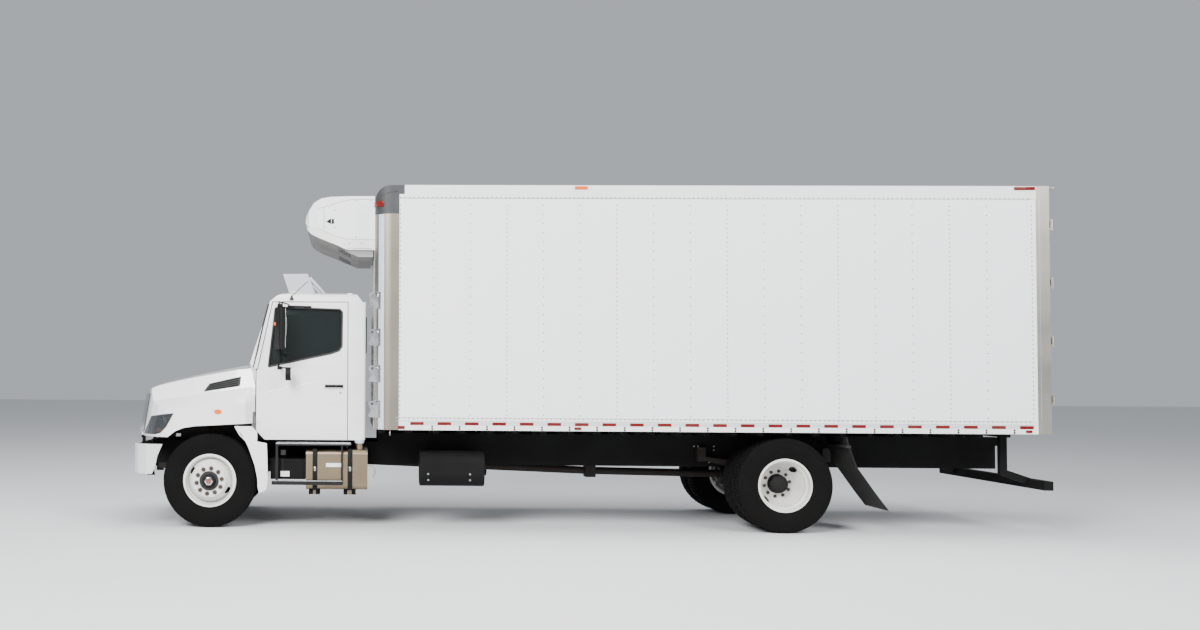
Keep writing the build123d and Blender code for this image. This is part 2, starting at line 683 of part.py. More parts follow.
with BuildPart() as hood_shell:
    add(hood_outer)
    add(hood_inner, mode=Mode.SUBTRACT)
    add(rear_region(0), mode=Mode.SUBTRACT)
    span_box(-1300, 1300, y_bumper - 100, y_hood_rear + 100, hood_bottom - 300, hood_bottom, mode=Mode.SUBTRACT)
    span_box(-1300, 1300, y_hood_rear - 24, y_hood_rear + 100, hood_bottom - 10, 1300, mode=Mode.SUBTRACT)
    add(outline_prism(arch_line, -1300, 1300), mode=Mode.SUBTRACT)
    span_box(-grille_half_width, grille_half_width, y_bumper - 100, y_front_axle - 700,
             grille_bottom, grille_top, mode=Mode.SUBTRACT)
    add(lamp_region(0), mode=Mode.SUBTRACT)
    add(lamp_region(0).mirror(Plane.YZ), mode=Mode.SUBTRACT)
    for x_low, x_high in ((-1300, -vent_inner_x), (vent_inner_x, 1300)):
        add(outline_prism(vent_outline, x_low, x_high), mode=Mode.SUBTRACT)
    for side in (-1, 1):
        lug_x = side * (frame_half_width - bracket_width - hood_lug_width / 2 - 2)
        span_box(lug_x - hood_lug_width / 2, lug_x + hood_lug_width / 2, y_pivot - 14, y_pivot + 14,
                 hood_pivot_z, grille_bottom - 4)
        with BuildSketch(side_plane(lug_x - hood_lug_width / 2)):
            with Locations((y_pivot, hood_pivot_z)):
                Circle(hood_lug_radius)
        extrude(amount=hood_lug_width)
        with BuildSketch(side_plane(lug_x - hood_lug_width / 2)):
            with Locations((y_pivot, hood_pivot_z)):
                Circle(hood_pin_radius + pin_clearance)
        extrude(amount=hood_lug_width, mode=Mode.SUBTRACT)
finish(hood_shell.part, "hood_shell")

# Headlights, flush in the corners of the hood
with BuildPart() as lamp_form:
    add(hood_outer)
    add(hood_inner, mode=Mode.SUBTRACT)
with BuildPart() as headlights:
    add(lamp_form.part)
    add(lamp_region(lamp_gap), mode=Mode.INTERSECT)
    mirror(about=Plane.YZ)
finish(headlights.part, "headlights")

# Grille: surround and bars on the leaning nose, and the vents in the hood's sides
grille_lean = math.degrees(math.atan(nose_slope))
grille_frame = 46
bar_height = 16
bar_count = 9
grille_depth = 60
grille_plane_y = y_front_axle - 905 + (grille_bottom - nose_low) * nose_slope
with BuildPart() as grille:
    nose_plane = Plane(origin=(0, grille_plane_y, grille_bottom), x_dir=(1, 0, 0),
                       z_dir=(0, -math.cos(math.radians(grille_lean)), math.sin(math.radians(grille_lean))))
    grille_height = (grille_top - grille_bottom) / math.cos(math.radians(grille_lean))
    grille_clear = 0.5
    with BuildSketch(nose_plane):
        with Locations((0, grille_height / 2)):
            Rectangle(2 * (grille_half_width - grille_clear), grille_height - 4 * grille_clear)
            Rectangle(2 * (grille_half_width - grille_frame), grille_height - 2 * grille_frame,
                      mode=Mode.SUBTRACT)
    extrude(amount=-grille_depth)
    bar_pitch = (grille_height - 2 * grille_frame) / (bar_count + 1)
    with BuildSketch(nose_plane.offset(-8)):
        with Locations((0, grille_height / 2)):
            with GridLocations(0, bar_pitch, 1, bar_count):
                Rectangle(2 * (grille_half_width - grille_frame) + 10, bar_height)
    extrude(amount=-(grille_depth - 16))
    with BuildSketch(nose_plane.offset(-14)):
        with Locations((0, grille_height / 2)):
            Rectangle(24, grille_height - 2 * grille_frame + 10)
    extrude(amount=-(grille_depth - 24))
    span_box(-grille_half_width, grille_half_width, y_bumper - 100, y_front_axle - 700,
             grille_bottom + grille_clear, grille_top - grille_clear, mode=Mode.INTERSECT)
    for x_low, x_high in ((-1300, -vent_inner_x), (vent_inner_x, 1300)):
        vent = outline_prism(vent_outline, x_low, x_high) & lamp_form.part
        add(vent)
finish(grille.part, "grille")

# Cab side section: the outer face of the cab's side, from the sill to the roof's edge
cab_side_points = [(cab_bottom, cab_half_width - 10), (1380, cab_half_width), (cab_belt, cab_half_width - 6),
                   (cab_roof_edge, cab_half_width - 80)]


def side_panel(outline, depth_out, depth_in, holes=()):
    """Piece of the left cab side: a side-view outline between two depths below the outer face."""
    outer = [(x - depth_out, z) for z, x in cab_side_points]
    inner = [(x - depth_in, z) for z, x in reversed(cab_side_points)]
    y_low = min(y for y, z in outline) - 10
    y_high = max(y for y, z in outline) + 10
    with BuildPart() as panel:
        with BuildSketch(cross_plane(y_high)):
            with BuildLine():
                Polyline(*outer, *inner, close=True)
            make_face()
        extrude(amount=y_high - y_low)
        with BuildSketch(side_plane(0)):
            with BuildLine():
                Polyline(*outline, close=True)
            make_face()
        extrude(amount=2 * cab_half_width, mode=Mode.INTERSECT)
        for hole in holes:
            with BuildSketch(side_plane(0)):
                with BuildLine():
                    Polyline(*hole, close=True)
                make_face()
            extrude(amount=2 * cab_half_width, mode=Mode.SUBTRACT)
    return panel.part


shut_gap = 9
door_bottom = cab_bottom
door_outline = [at_front(610, door_bottom), (y_door_rear, door_bottom), (y_door_rear, cab_roof_edge - shut_gap),
                at_front(690, cab_roof_edge - shut_gap), at_front(530, 1790), (y_door_front, 1760),
                (y_door_front, 1087)]
window_outline = [at_front(648, 1812), at_front(1362, 1968), at_front(1450, 2000), at_front(1481, 2050),
                  at_front(1484, 2440), at_front(1458, 2470), at_front(742, 2494), at_front(716, 2470)]


def drawn_in(points, amount):
    """Outline drawn towards its middle by a small amount."""
    y_mid = sum(y for y, z in points) / len(points)
    z_mid = sum(z for y, z in points) / len(points)
    moved = []
    for y, z in points:
        length = math.hypot(y - y_mid, z - z_mid)
        moved.append((y - amount * (y - y_mid) / length, z - amount * (z - z_mid) / length))
    return moved


glass_depth = 26
door_left = side_panel(door_outline, 0, cab_wall, holes=[window_outline])
glass_left = side_panel(drawn_in(window_outline, 1), glass_depth, glass_depth + glass_thickness)
for side, side_name in ((1, "left"), (-1, "right")):
    with BuildPart() as cab_door:
        add(door_left if side > 0 else door_left.mirror(Plane.YZ))
        handle_y, handle_z = at_front(1395, 1597)
        x_low, x_high = sorted((side * (cab_half_width - 6), side * (cab_half_width + 22)))
        span_box(x_low, x_high, handle_y - 95, handle_y + 95, handle_z - 18, handle_z + 18)
        x_low, x_high = sorted((side * (floor_half_width + fit_gap), side * (cab_half_width - cab_wall)))
        span_box(x_low, x_high, y_front_axle + 650, y_door_rear - 10, cab_bottom + 5, cab_bottom + 50)
    finish(cab_door.part, f"cab_door_{side_name}")
    with BuildPart() as door_glass:
        add(glass_left if side > 0 else glass_left.mirror(Plane.YZ))
    finish(door_glass.part, f"door_glass_{side_name}")

# Mirrors: bent tube bracket, flat mirror head and a round convex mirror
mirror_tube_radius = 11
mirror_tube_x = 1235
mirror_y = y_front_axle + 775
mirror_top = 2520
mirror_bottom = 1800
mirror_head_turn = 20
round_mirror_x = mirror_tube_x - 66
mirror_head_low = 2010
mirror_head_high = 2480


def cab_side_x(z):
    """Outer face of the cab's side at a height."""
    for (z_low, x_low), (z_high, x_high) in zip(cab_side_points[:-1], cab_side_points[1:]):
        if z_low <= z <= z_high:
            return x_low + (x_high - x_low) * (z - z_low) / (z_high - z_low)
    return cab_side_points[0][1]


def mirror_pad(z):
    """Foot of a mirror arm on the left door's outer face."""
    return side_panel([(mirror_y - 28, z - 18), (mirror_y + 28, z - 18), (mirror_y + 28, z + 18),
                       (mirror_y - 28, z + 18)], -8, 0)


with BuildPart() as mirror_left:
    add(mirror_pad(mirror_top))
    add(mirror_pad(mirror_bottom))
    with BuildLine():
        FilletPolyline(
            (cab_side_x(mirror_top) + 4, mirror_y, mirror_top), (mirror_tube_x, mirror_y, mirror_top),
            (mirror_tube_x, mirror_y, mirror_bottom), (cab_side_x(mirror_bottom) + 4, mirror_y, mirror_bottom),
            radius=60,
        )
    with BuildSketch(Plane(origin=(cab_side_x(mirror_top) + 4, mirror_y, mirror_top), z_dir=(1, 0, 0))):
        Circle(mirror_tube_radius)
    sweep()
    with BuildSketch(Plane.XY.offset(mirror_head_low)):
        with Locations((mirror_tube_x + 18, mirror_y + 14)):
            RectangleRounded(210, 70, 25, rotation=mirror_head_turn)
    extrude(amount=mirror_head_high - mirror_head_low)
    span_box(round_mirror_x - 8, round_mirror_x + 8, mirror_y - 6, mirror_y + 112,
             mirror_bottom - 8, mirror_bottom + 8)
    with BuildSketch(cross_plane(mirror_y + 137)):
        with Locations((round_mirror_x, mirror_bottom - 69)):
            Circle(74)
    extrude(amount=62)
finish(mirror_left.part, "mirror_left")
with BuildPart() as mirror_right:
    add(mirror_left.part.mirror(Plane.YZ))
finish(mirror_right.part, "mirror_right")

# Cab floor with its mounts on the rails
floor_height = 60
cowl_back = y_front_axle + 503
with BuildPart() as cab_floor:
    span_box(-floor_half_width, floor_half_width, cowl_back, y_cab_rear, cab_bottom, cab_bottom + floor_height)
    for station in (600, 1600):
        for side in (-1, 1):
            x_mount = side * (frame_half_width - rail_flange / 2)
            span_box(x_mount - 36, x_mount + 36, y_front_axle + station, y_front_axle + station + 90,
                     frame_top, cab_bottom)
finish(cab_floor.part, "cab_floor")

# Cowl: firewall, and above it the block that carries the windshield
cowl_half_width = cab_half_width - 6 - cab_wall - 0.5
cowl_step = 1500
windshield_low = 1832
with BuildPart() as cab_cowl:
    span_box(-floor_half_width, floor_half_width, cowl_back - 50, cowl_back - fit_gap, cab_bottom, cowl_step)
    add(rear_region(12))
    span_box(-cowl_half_width, cowl_half_width, y_front_axle, cowl_back - fit_gap, cowl_step, windshield_low,
             mode=Mode.INTERSECT)
    span_box(-floor_half_width, floor_half_width, cowl_back - 50, cowl_back - fit_gap, cab_bottom, cowl_step)
finish(cab_cowl.part, "cab_cowl")

# Pillars: windshield pillars and rear corner panels, rounded at the cab's back
cab_corner_radius = 28
front_pillar_outline = [at_front(432, 1842), at_front(498, 1786), at_front(519, 1790), at_front(681, cab_roof_edge),
                        at_front(656, cab_roof_edge)]
rear_corner_outline = [(y_door_rear + shut_gap, cab_bottom), (y_cab_rear, cab_bottom), (y_cab_rear, 2490),
                       (y_cab_rear - 40, cab_roof_edge), (y_door_rear + shut_gap, cab_roof_edge)]
with BuildPart() as cab_pillars:
    add(side_panel(front_pillar_outline, 0, cab_wall))
    add(side_panel(rear_corner_outline, 0, cab_wall + 10))
    corner_edges = cab_pillars.edges().filter_by(
        lambda edge: (edge.center().X > cab_half_width - cab_wall and abs(edge.center().Y - y_cab_rear) < 1
                      and edge.length > 300))
    fillet(corner_edges, radius=cab_corner_radius)
    mirror(about=Plane.YZ)
finish(cab_pillars.part, "cab_pillars")

# Back panel with a window
back_inner = cab_half_width - 10 - cab_wall - 10
back_top_inner = cab_half_width - 80 - cab_wall - 10
back_wall = 60
rear_window_width = 1100
rear_window_height = 420
rear_window_z = 2190
with BuildPart() as cab_back_panel:
    with BuildSketch(cross_plane(y_cab_rear)):
        with BuildLine():
            right = [(back_inner, cab_bottom + floor_height), (back_inner + 10, 1380), (back_inner + 4, cab_belt),
                     (back_top_inner, cab_roof_edge)]
            Polyline(*right, *[(-x, z) for x, z in reversed(right)], close=True)
        make_face()
        with Locations((0, rear_window_z)):
            RectangleRounded(rear_window_width, rear_window_height, 60, mode=Mode.SUBTRACT)
    extrude(amount=back_wall)
finish(cab_back_panel.part, "cab_back_panel")

# Roof: crowned panel with rounded edges
roof_wall = 50
roof_side_x = cab_half_width - 80
roof_section = [(roof_side_x, cab_roof_edge), (roof_side_x - 10, cab_roof_edge + 50),
                (roof_side_x - 42, cab_roof_edge + 82), (roof_side_x - 110, cab_roof_edge + 98),
                (roof_side_x - 240, cab_roof_top)]
roof_inside = [(roof_side_x - 240, cab_roof_top - roof_wall), (roof_side_x - 100, cab_roof_edge + 50),
               (roof_side_x - 80, cab_roof_edge)]
roof_profile = [(656, cab_roof_edge), (728, 2625), (793, 2656), (870, cab_roof_top), (1560, cab_roof_top),
                (1650, 2650), (1712, cab_roof_edge)]
with BuildPart() as cab_roof:
    with BuildSketch(cross_plane(y_cab_rear)):
        with BuildLine():
            half_ring = roof_section + roof_inside
            outer_left = [(-x, z) for x, z in reversed(roof_section)]
            inner_left = [(-x, z) for x, z in reversed(roof_inside)]
            Polyline(*roof_section, *outer_left, *inner_left, *roof_inside, close=True)
        make_face()
    extrude(amount=1300)
    with BuildSketch(side_plane(-1100)):
        with BuildLine():
            Polyline(*[at_front(*point) for point in roof_profile], close=True)
        make_face()
    extrude(amount=2200, mode=Mode.INTERSECT)
finish(cab_roof.part, "cab_roof")

# Windshield and rear window
windshield_half_width = 935
windshield_edge_low = cab_half_width - 6 - cab_wall - 0.5
windshield_edge_high = cab_half_width - 80 - cab_wall - 0.5
windshield_sag = 60
slope_back = 224 / 717
with BuildPart() as cab_glass:
    glass_rise = cab_roof_edge - windshield_low
    with BuildSketch(Plane.XY.offset(windshield_low)):
        y_edge = y_front_axle + 445
        y_mid = y_edge - windshield_sag
        half = windshield_half_width
        with BuildLine():
            ThreePointArc((-half, y_edge), (0, y_mid), (half, y_edge))
            Line((half, y_edge), (half, y_edge + glass_thickness + 2))
            ThreePointArc((half, y_edge + glass_thickness + 2), (0, y_mid + glass_thickness + 2),
                          (-half, y_edge + glass_thickness + 2))
            Line((-half, y_edge + glass_thickness + 2), (-half, y_edge))
        make_face()
    direction = Vector(0, slope_back, 1)
    extrude(amount=glass_rise * direction.length, dir=direction.normalized())
    with BuildSketch(cross_plane(y_cab_rear)):
        with BuildLine():
            Polyline((-windshield_edge_low, windshield_low), (-windshield_edge_high, cab_roof_edge),
                     (windshield_edge_high, cab_roof_edge), (windshield_edge_low, windshield_low), close=True)
        make_face()
    extrude(amount=2000, mode=Mode.INTERSECT)
    with BuildSketch(cross_plane(y_cab_rear - 20)):
        with Locations((0, rear_window_z)):
            RectangleRounded(rear_window_width - 2 * fit_gap, rear_window_height - 2 * fit_gap, 60)
    extrude(amount=glass_thickness)
finish(cab_glass.part, "cab_glass")

# Dashboard with the steering column and wheel
steering_x = 430
steering_rim_radius = 225
wheel_center = Vector(steering_x, y_front_axle + 980, 1760)
wheel_normal = Vector(0, 0.62, 0.78).normalized()
with BuildPart() as dashboard:
    with BuildSketch(side_plane(-880)):
        with BuildLine():
            Polyline((cowl_back, 1480), (cowl_back, 1790), at_front(600, 1830), at_front(760, 1820),
                     at_front(810, 1720), at_front(780, 1480), close=True)
        make_face()
    extrude(amount=1760)
    column_start = wheel_center - wheel_normal * 330
    with BuildSketch(Plane(origin=column_start, z_dir=wheel_normal)):
        Circle(30)
    extrude(amount=320)
    wheel_plane = Plane(origin=wheel_center, x_dir=(1, 0, 0), z_dir=wheel_normal)
    with BuildSketch(Plane(origin=wheel_center, x_dir=(1, 0, 0), z_dir=wheel_plane.y_dir)):
        with Locations((steering_rim_radius, 0)):
            Circle(15)
    revolve(axis=Axis(wheel_center, wheel_normal))
    with BuildSketch(wheel_plane.offset(-9.5)):
        Circle(55)
        for spoke_angle in (0, 90, 180):
            with Locations(Rotation(0, 0, spoke_angle)):
                with Locations((steering_rim_radius / 2, 0)):
                    Rectangle(steering_rim_radius, 30)
    extrude(amount=18)
finish(dashboard.part, "dashboard")

# Seats: base, cushion and back in one plain closed form each
seat_width = 520
seat_floor = cab_bottom + floor_height
with BuildPart() as seats:
    for side in (-1, 1):
        with BuildSketch(side_plane(side * steering_x - seat_width / 2)):
            with BuildLine():
                Polyline(at_front(1130, seat_floor), at_front(1110, 1380), at_front(1080, 1420), at_front(1090, 1530),
                         at_front(1460, 1500), at_front(1560, 2180), at_front(1660, 2180), at_front(1640, 1420),
                         at_front(1560, 1380), at_front(1540, seat_floor), close=True)
            make_face()
        extrude(amount=seat_width)
finish(seats.part, "seats")

# Roof deflector: two side plates, a sloping plate between them and braces
deflector_half_width = 640
with BuildPart() as roof_deflector:
    for x_plate in (-deflector_half_width, deflector_half_width - 12):
        with BuildSketch(side_plane(x_plate)):
            with BuildLine():
                Polyline(at_front(863, cab_roof_top), at_front(1162, cab_roof_top), at_front(1075, 2904),
                         at_front(786, 2900), close=True)
            make_face()
        extrude(amount=12)
        with BuildSketch(side_plane(x_plate)):
            with BuildLine():
                Polyline(at_front(1262, cab_roof_top), at_front(1292, cab_roof_top), at_front(1112, 2870),
                         at_front(1086, 2850), close=True)
            make_face()
        extrude(amount=12)
    with BuildSketch(side_plane(-deflector_half_width)):
        with BuildLine():
            Polyline(at_front(863, cab_roof_top + 8), at_front(786, 2900), at_front(798, 2900),
                     at_front(875, cab_roof_top + 8), close=True)
        make_face()
    extrude(amount=2 * deflector_half_width)
finish(roof_deflector.part, "roof_deflector")

# Fuel tank with two straps and a filler, hung from the left rail
tank_x = (548, 1100)
tank_z = (431, 882)
tank_y = (y_front_axle + 1084, y_front_axle + 1778)
strap_width = 50
with BuildPart() as fuel_tank:
    with BuildSketch(cross_plane(tank_y[1])):
        with Locations(((tank_x[0] + tank_x[1]) / 2, (tank_z[0] + tank_z[1]) / 2)):
            RectangleRounded(tank_x[1] - tank_x[0], tank_z[1] - tank_z[0], 62)
    extrude(amount=tank_y[1] - tank_y[0])
    for station in (1161, 1556):
        with BuildSketch(cross_plane(y_front_axle + station + strap_width)):
            with Locations(((tank_x[0] + tank_x[1]) / 2, (tank_z[0] + tank_z[1]) / 2)):
                RectangleRounded(tank_x[1] - tank_x[0] + 8, tank_z[1] - tank_z[0] + 8, 66)
        extrude(amount=strap_width)
        span_box(frame_half_width, tank_x[0] + 20, y_front_axle + station, y_front_axle + station + strap_width,
                 700, 860)
        span_box(frame_half_width, tank_x[1] - 80, y_front_axle + station, y_front_axle + station + strap_width,
                 tank_z[0] - 60, tank_z[0] - 2)
        span_box(frame_half_width, tank_x[0] - 20, y_front_axle + station, y_front_axle + station + strap_width,
                 tank_z[0] - 60, 760)
    with Locations((tank_x[1] - 90, y_front_axle + 1687, tank_z[1] + 35)):
        Cylinder(46, 72)
finish(fuel_tank.part, "fuel_tank")

# Battery box and steps at each side of the cab
step_x = (955, 1130)
with BuildPart() as cab_steps:
    for side in (-1, 1):
        def side_span(x_near, x_far, y_low, y_high, z_low, z_high):
            """Box on this side of the truck."""
            low, high = sorted((side * x_near, side * x_far))
            span_box(low, high, y_low, y_high, z_low, z_high)

        side_span(frame_half_width, step_x[1] - 30, y_front_axle + 742, y_front_axle + 760, 900, 930)
        side_span(frame_half_width, step_x[1] - 30, y_front_axle + 1540, y_front_axle + 1558, 900, 930)
        side_span(step_x[0], step_x[1], y_front_axle + 742, y_front_axle + 1592, 925, 950)
        side_span(step_x[1] - 22, step_x[1], y_front_axle + 742, y_front_axle + 770, 500, 930)
        side_span(step_x[1] - 8, step_x[1] + 30, y_front_axle + 700, y_front_axle + 1500, 486, 528)
        side_span(step_x[1] - 22, step_x[1], y_front_axle + 1480, y_front_axle + 1500, 500, 930)
finish(cab_steps.part, "cab_steps")

with BuildPart() as battery_box:
    span_box(640, 1060, y_front_axle + 682, y_front_axle + 1076, 542, 755)
    span_box(634, 1066, y_front_axle + 676, y_front_axle + 1079, 740, 768)
    span_box(frame_half_width, 700, y_front_axle + 740, y_front_axle + 800, 690, 740)
    span_box(frame_half_width, 700, y_front_axle + 960, y_front_axle + 1020, 690, 740)
finish(battery_box.part, "battery_box")

with BuildPart() as exhaust_box:
    with BuildSketch(cross_plane(y_front_axle + 1700)):
        with Locations((-830, 700)):
            RectangleRounded(460, 400, 120)
    extrude(amount=900)
    for station in (900, 1560):
        span_box(-700, -frame_half_width, y_front_axle + station, y_front_axle + station + 50, 700, 860)
    with BuildSketch(cross_plane(y_front_axle + 1980)):
        with Locations((-830, 640)):
            Circle(62)
    extrude(amount=300)
finish(exhaust_box.part, "exhaust_box")

# Fuel tank of the cooling unit, rounded below
with BuildPart() as unit_fuel_tank:
    with BuildSketch(cross_plane(y_front_axle + 3096)):
        with Locations((880, 668)):
            RectangleRounded(420, 395, 150)
    extrude(amount=719)
    for station in (2480, 2950):
        span_box(frame_half_width, 760, y_front_axle + station, y_front_axle + station + 50, 760, 840)
finish(unit_fuel_tank.part, "unit_fuel_tank")

with BuildPart() as air_tanks:
    for z_tank in (580, 840):
        with BuildSketch(cross_plane(y_front_axle + 3300)):
            with Locations((-640, z_tank)):
                Circle(118)
        extrude(amount=820)
    for station in (2600, 3150):
        span_box(-660, -frame_half_width, y_front_axle + station, y_front_axle + station + 50, 690, 760)
        span_box(-670, -610, y_front_axle + station, y_front_axle + station + 50, 600, 800)
finish(air_tanks.part, "air_tanks")

# Quarter fenders behind the front wheels, and the rear mud flaps, swept back
flap_line = [(7059, 1068), (7077, 976), (7164, 738), (7357, 464), (7508, 262)]
flap_thickness = 10
flap_x = (640, 1250)
quarter_outer = [(279, 1140), (473, 1140), (535, 1072), (535, 970), (644, 950), (659, 564), (646, 436),
                 (560, 392)]
quarter_inner = [(545, 470), (541, 560), (512, 700), (440, 900), (370, 1040)]
quarter_liner = [(604, 392), (604, 470), (608, 540), (600, 620), (574, 700), (474, 900), (332, 1040), (279, 1132)]
with BuildPart() as mudguards:
    with BuildSketch(side_plane(1150)):
        with BuildLine():
            Polyline(*[at_front(*point) for point in quarter_outer + quarter_inner], close=True)
        make_face()
    extrude(amount=25)
    with BuildSketch(side_plane(925)):
        with BuildLine():
            back_liner = [(s + 14, z + 4) for s, z in quarter_liner]
            Polyline(*[at_front(*point) for point in quarter_liner],
                     *[at_front(*point) for point in reversed(back_liner)], close=True)
        make_face()
    extrude(amount=226)
    span_box(frame_half_width, 935, y_front_axle + 582, y_front_axle + 612, 690, 716)
    with BuildSketch(side_plane(flap_x[0])):
        with BuildLine():
            back_line = [at_front(s + flap_thickness, z) for s, z in flap_line]
            Polyline(*[at_front(*point) for point in flap_line], *reversed(back_line), close=True)
        make_face()
    extrude(amount=flap_x[1] - flap_x[0])
    span_box(frame_half_width, flap_x[1], y_front_axle + 7050, y_front_axle + 7110, cross_sill_bottom - 90,
             cross_sill_bottom - 60)
    mirror(about=Plane.YZ)
finish(mudguards.part, "mudguards")

# Underride guard: cross bar on two struts
bar_low = 494
bar_high = 594
with BuildPart() as underride_guard:
    span_box(-1205, 1205, y_tail - 96, y_tail, bar_low, bar_high)
    for side in (-1, 1):
        x_low, x_high = sorted((side * 800, side * 860))
        with BuildSketch(side_plane(x_low)):
            with BuildLine():
                Polyline(at_front(8932, body_floor), at_front(9012, body_floor), at_front(9012, 690),
                         (y_tail - 60, bar_high + 10), (y_tail - 60, bar_high - 30), (y_tail - 96, bar_low + 40),
                         at_front(8932, 640), close=True)
            make_face()
        extrude(amount=x_high - x_low)
finish(underride_guard.part, "underride_guard")

# Box body: floor, walls, roof, rails and posts
floor_top = body_floor + bottom_rail_height
wall_inner_x = body_half_width - body_wall
wall_outer_x = body_half_width - skin_step
y_post_end = y_body_front + front_post_length
y_frame_start = y_body_rear - rear_frame_depth
rail_low = body_top - top_rail_height
y_front_inner = y_body_front + body_wall
post_x = body_half_width - front_corner_radius
y_roof_front = y_body_front + top_corner_radius
with BuildPart() as cargo_side_walls:
    span_box(wall_inner_x, wall_outer_x, y_post_end, y_frame_start, floor_top, rail_low)
    mirror(about=Plane.YZ)
finish(cargo_side_walls.part, "cargo_side_walls")

with BuildPart() as cargo_roof:
    span_box(-wall_inner_x, wall_inner_x, y_roof_front, y_frame_start, body_top - body_wall, body_top)
finish(cargo_roof.part, "cargo_roof")

header_z = body_top - top_corner_radius
with BuildPart() as cargo_front_wall:
    span_box(-post_x, post_x, y_body_front, y_front_inner, body_floor, header_z)
    with BuildSketch(side_plane(-post_x)):
        with BuildLine():
            bend = top_corner_radius
            mid = bend * (1 - math.cos(math.radians(45)))
            CenterArc((y_roof_front, header_z), bend, 90, 90)
            Line((y_body_front, header_z), (y_front_inner, header_z))
            CenterArc((y_roof_front, header_z), bend - body_wall, 180, -90)
            Line((y_roof_front, body_top - body_wall), (y_roof_front, body_top))
        make_face()
    extrude(amount=2 * post_x)
finish(cargo_front_wall.part, "cargo_front_wall")


def corner_section():
    """Plan section of the left front corner post."""
    r = front_corner_radius
    center = (post_x, y_body_front + r)
    with BuildLine() as outline:
        CenterArc(center, r, 270, 90)
        Line((body_half_width, y_body_front + r), (body_half_width, y_post_end))
        Line((body_half_width, y_post_end), (wall_inner_x, y_post_end))
        Line((wall_inner_x, y_post_end), (wall_inner_x, y_body_front + r))
        CenterArc(center, r - body_wall, 0, -90)
        Line((post_x, y_front_inner), (post_x, y_body_front))
    return outline.line.edges()


casting_low = 3530
casting_arm = 60
casting_arm_low = 3748
with BuildPart() as cargo_frame:
    with BuildSketch(Plane.XY.offset(body_floor)):
        make_face(corner_section())
    extrude(amount=casting_low - body_floor)
    span_box(wall_inner_x, body_half_width, y_post_end, y_frame_start, body_floor, floor_top)
    span_box(wall_inner_x, body_half_width, y_post_end, y_frame_start, rail_low, body_top)
    span_box(wall_inner_x - 1, body_half_width + 1, y_post_end - 1, y_post_end + casting_arm, casting_arm_low,
             body_top + 1, mode=Mode.SUBTRACT)
    mirror(about=Plane.YZ)
finish(cargo_frame.part, "cargo_frame")

with BuildPart() as cargo_floor:
    span_box(-wall_inner_x, wall_inner_x, y_front_inner, y_frame_start, body_floor, floor_top)
    add(cargo_frame.part, mode=Mode.SUBTRACT)
finish(cargo_floor.part, "cargo_floor")

with BuildPart() as corner_castings:
    with BuildSketch(Plane.XY.offset(header_z)):
        with BuildLine():
            center = (post_x, y_body_front + front_corner_radius)
            CenterArc(center, front_corner_radius, 270, 90)
            Line((body_half_width, y_body_front + front_corner_radius), (body_half_width, y_post_end))
            Line((body_half_width, y_post_end), (wall_inner_x, y_post_end))
            Line((wall_inner_x, y_post_end), (wall_inner_x, y_roof_front))
            Line((wall_inner_x, y_roof_front), (post_x, y_roof_front))
            Line((post_x, y_roof_front), (post_x, y_body_front))
        make_face()
    extrude(amount=top_corner_radius)
    with BuildSketch(side_plane(0)):
        with BuildLine():
            CenterArc((y_roof_front, header_z), top_corner_radius, 90, 90)
            Line((y_body_front, header_z), (y_post_end, header_z))
            Line((y_post_end, header_z), (y_post_end, body_top))
            Line((y_post_end, body_top), (y_roof_front, body_top))
        make_face()
    extrude(amount=2 * body_half_width, mode=Mode.INTERSECT)
    with BuildSketch(Plane.XY.offset(casting_low)):
        make_face(corner_section())
    extrude(amount=header_z - casting_low)
    span_box(wall_inner_x, body_half_width, y_post_end, y_post_end + casting_arm, casting_arm_low, body_top)
    mirror(about=Plane.YZ)
finish(corner_castings.part, "corner_castings")

# Rear frame with hinge ears and pins, and the drip lip over the doors
opening_x = body_half_width - rear_post_width
opening_low = floor_top
opening_high = rail_low
hinge_x = body_half_width + 10
hinge_back = 26
hinge_y = y_body_rear + hinge_back
hinge_pin_radius = 5
hinge_barrel_radius = 9
hinge_heights = (1500, 2140, 2780, 3420)
hinge_length = 70
ear_length = 22
with BuildPart() as rear_frame:
    span_box(-body_half_width, body_half_width, y_frame_start, y_body_rear, body_floor, body_top)
    span_box(-opening_x, opening_x, y_frame_start, y_body_rear, opening_low, opening_high, mode=Mode.SUBTRACT)
    span_box(-body_half_width, body_half_width, y_body_rear, y_tail - 2, body_top - 22, body_top - 14)
    for side in (-1, 1):
        for z_hinge in hinge_heights:
            for ear_side in (-1, 1):
                z_ear = z_hinge + ear_side * (hinge_length / 2 + ear_length / 2 + 1)
                x_low, x_high = sorted((side * (hinge_x - 34), side * (hinge_x + 6)))
                span_box(x_low, x_high, y_body_rear, hinge_y + 4, z_ear - ear_length / 2, z_ear + ear_length / 2)
                with Locations((side * hinge_x, hinge_y, z_ear)):
                    Cylinder(hinge_barrel_radius, ear_length)
            with Locations((side * hinge_x, hinge_y, z_hinge)):
                Cylinder(hinge_pin_radius, hinge_length + 2 * ear_length)
finish(rear_frame.part, "rear_frame")

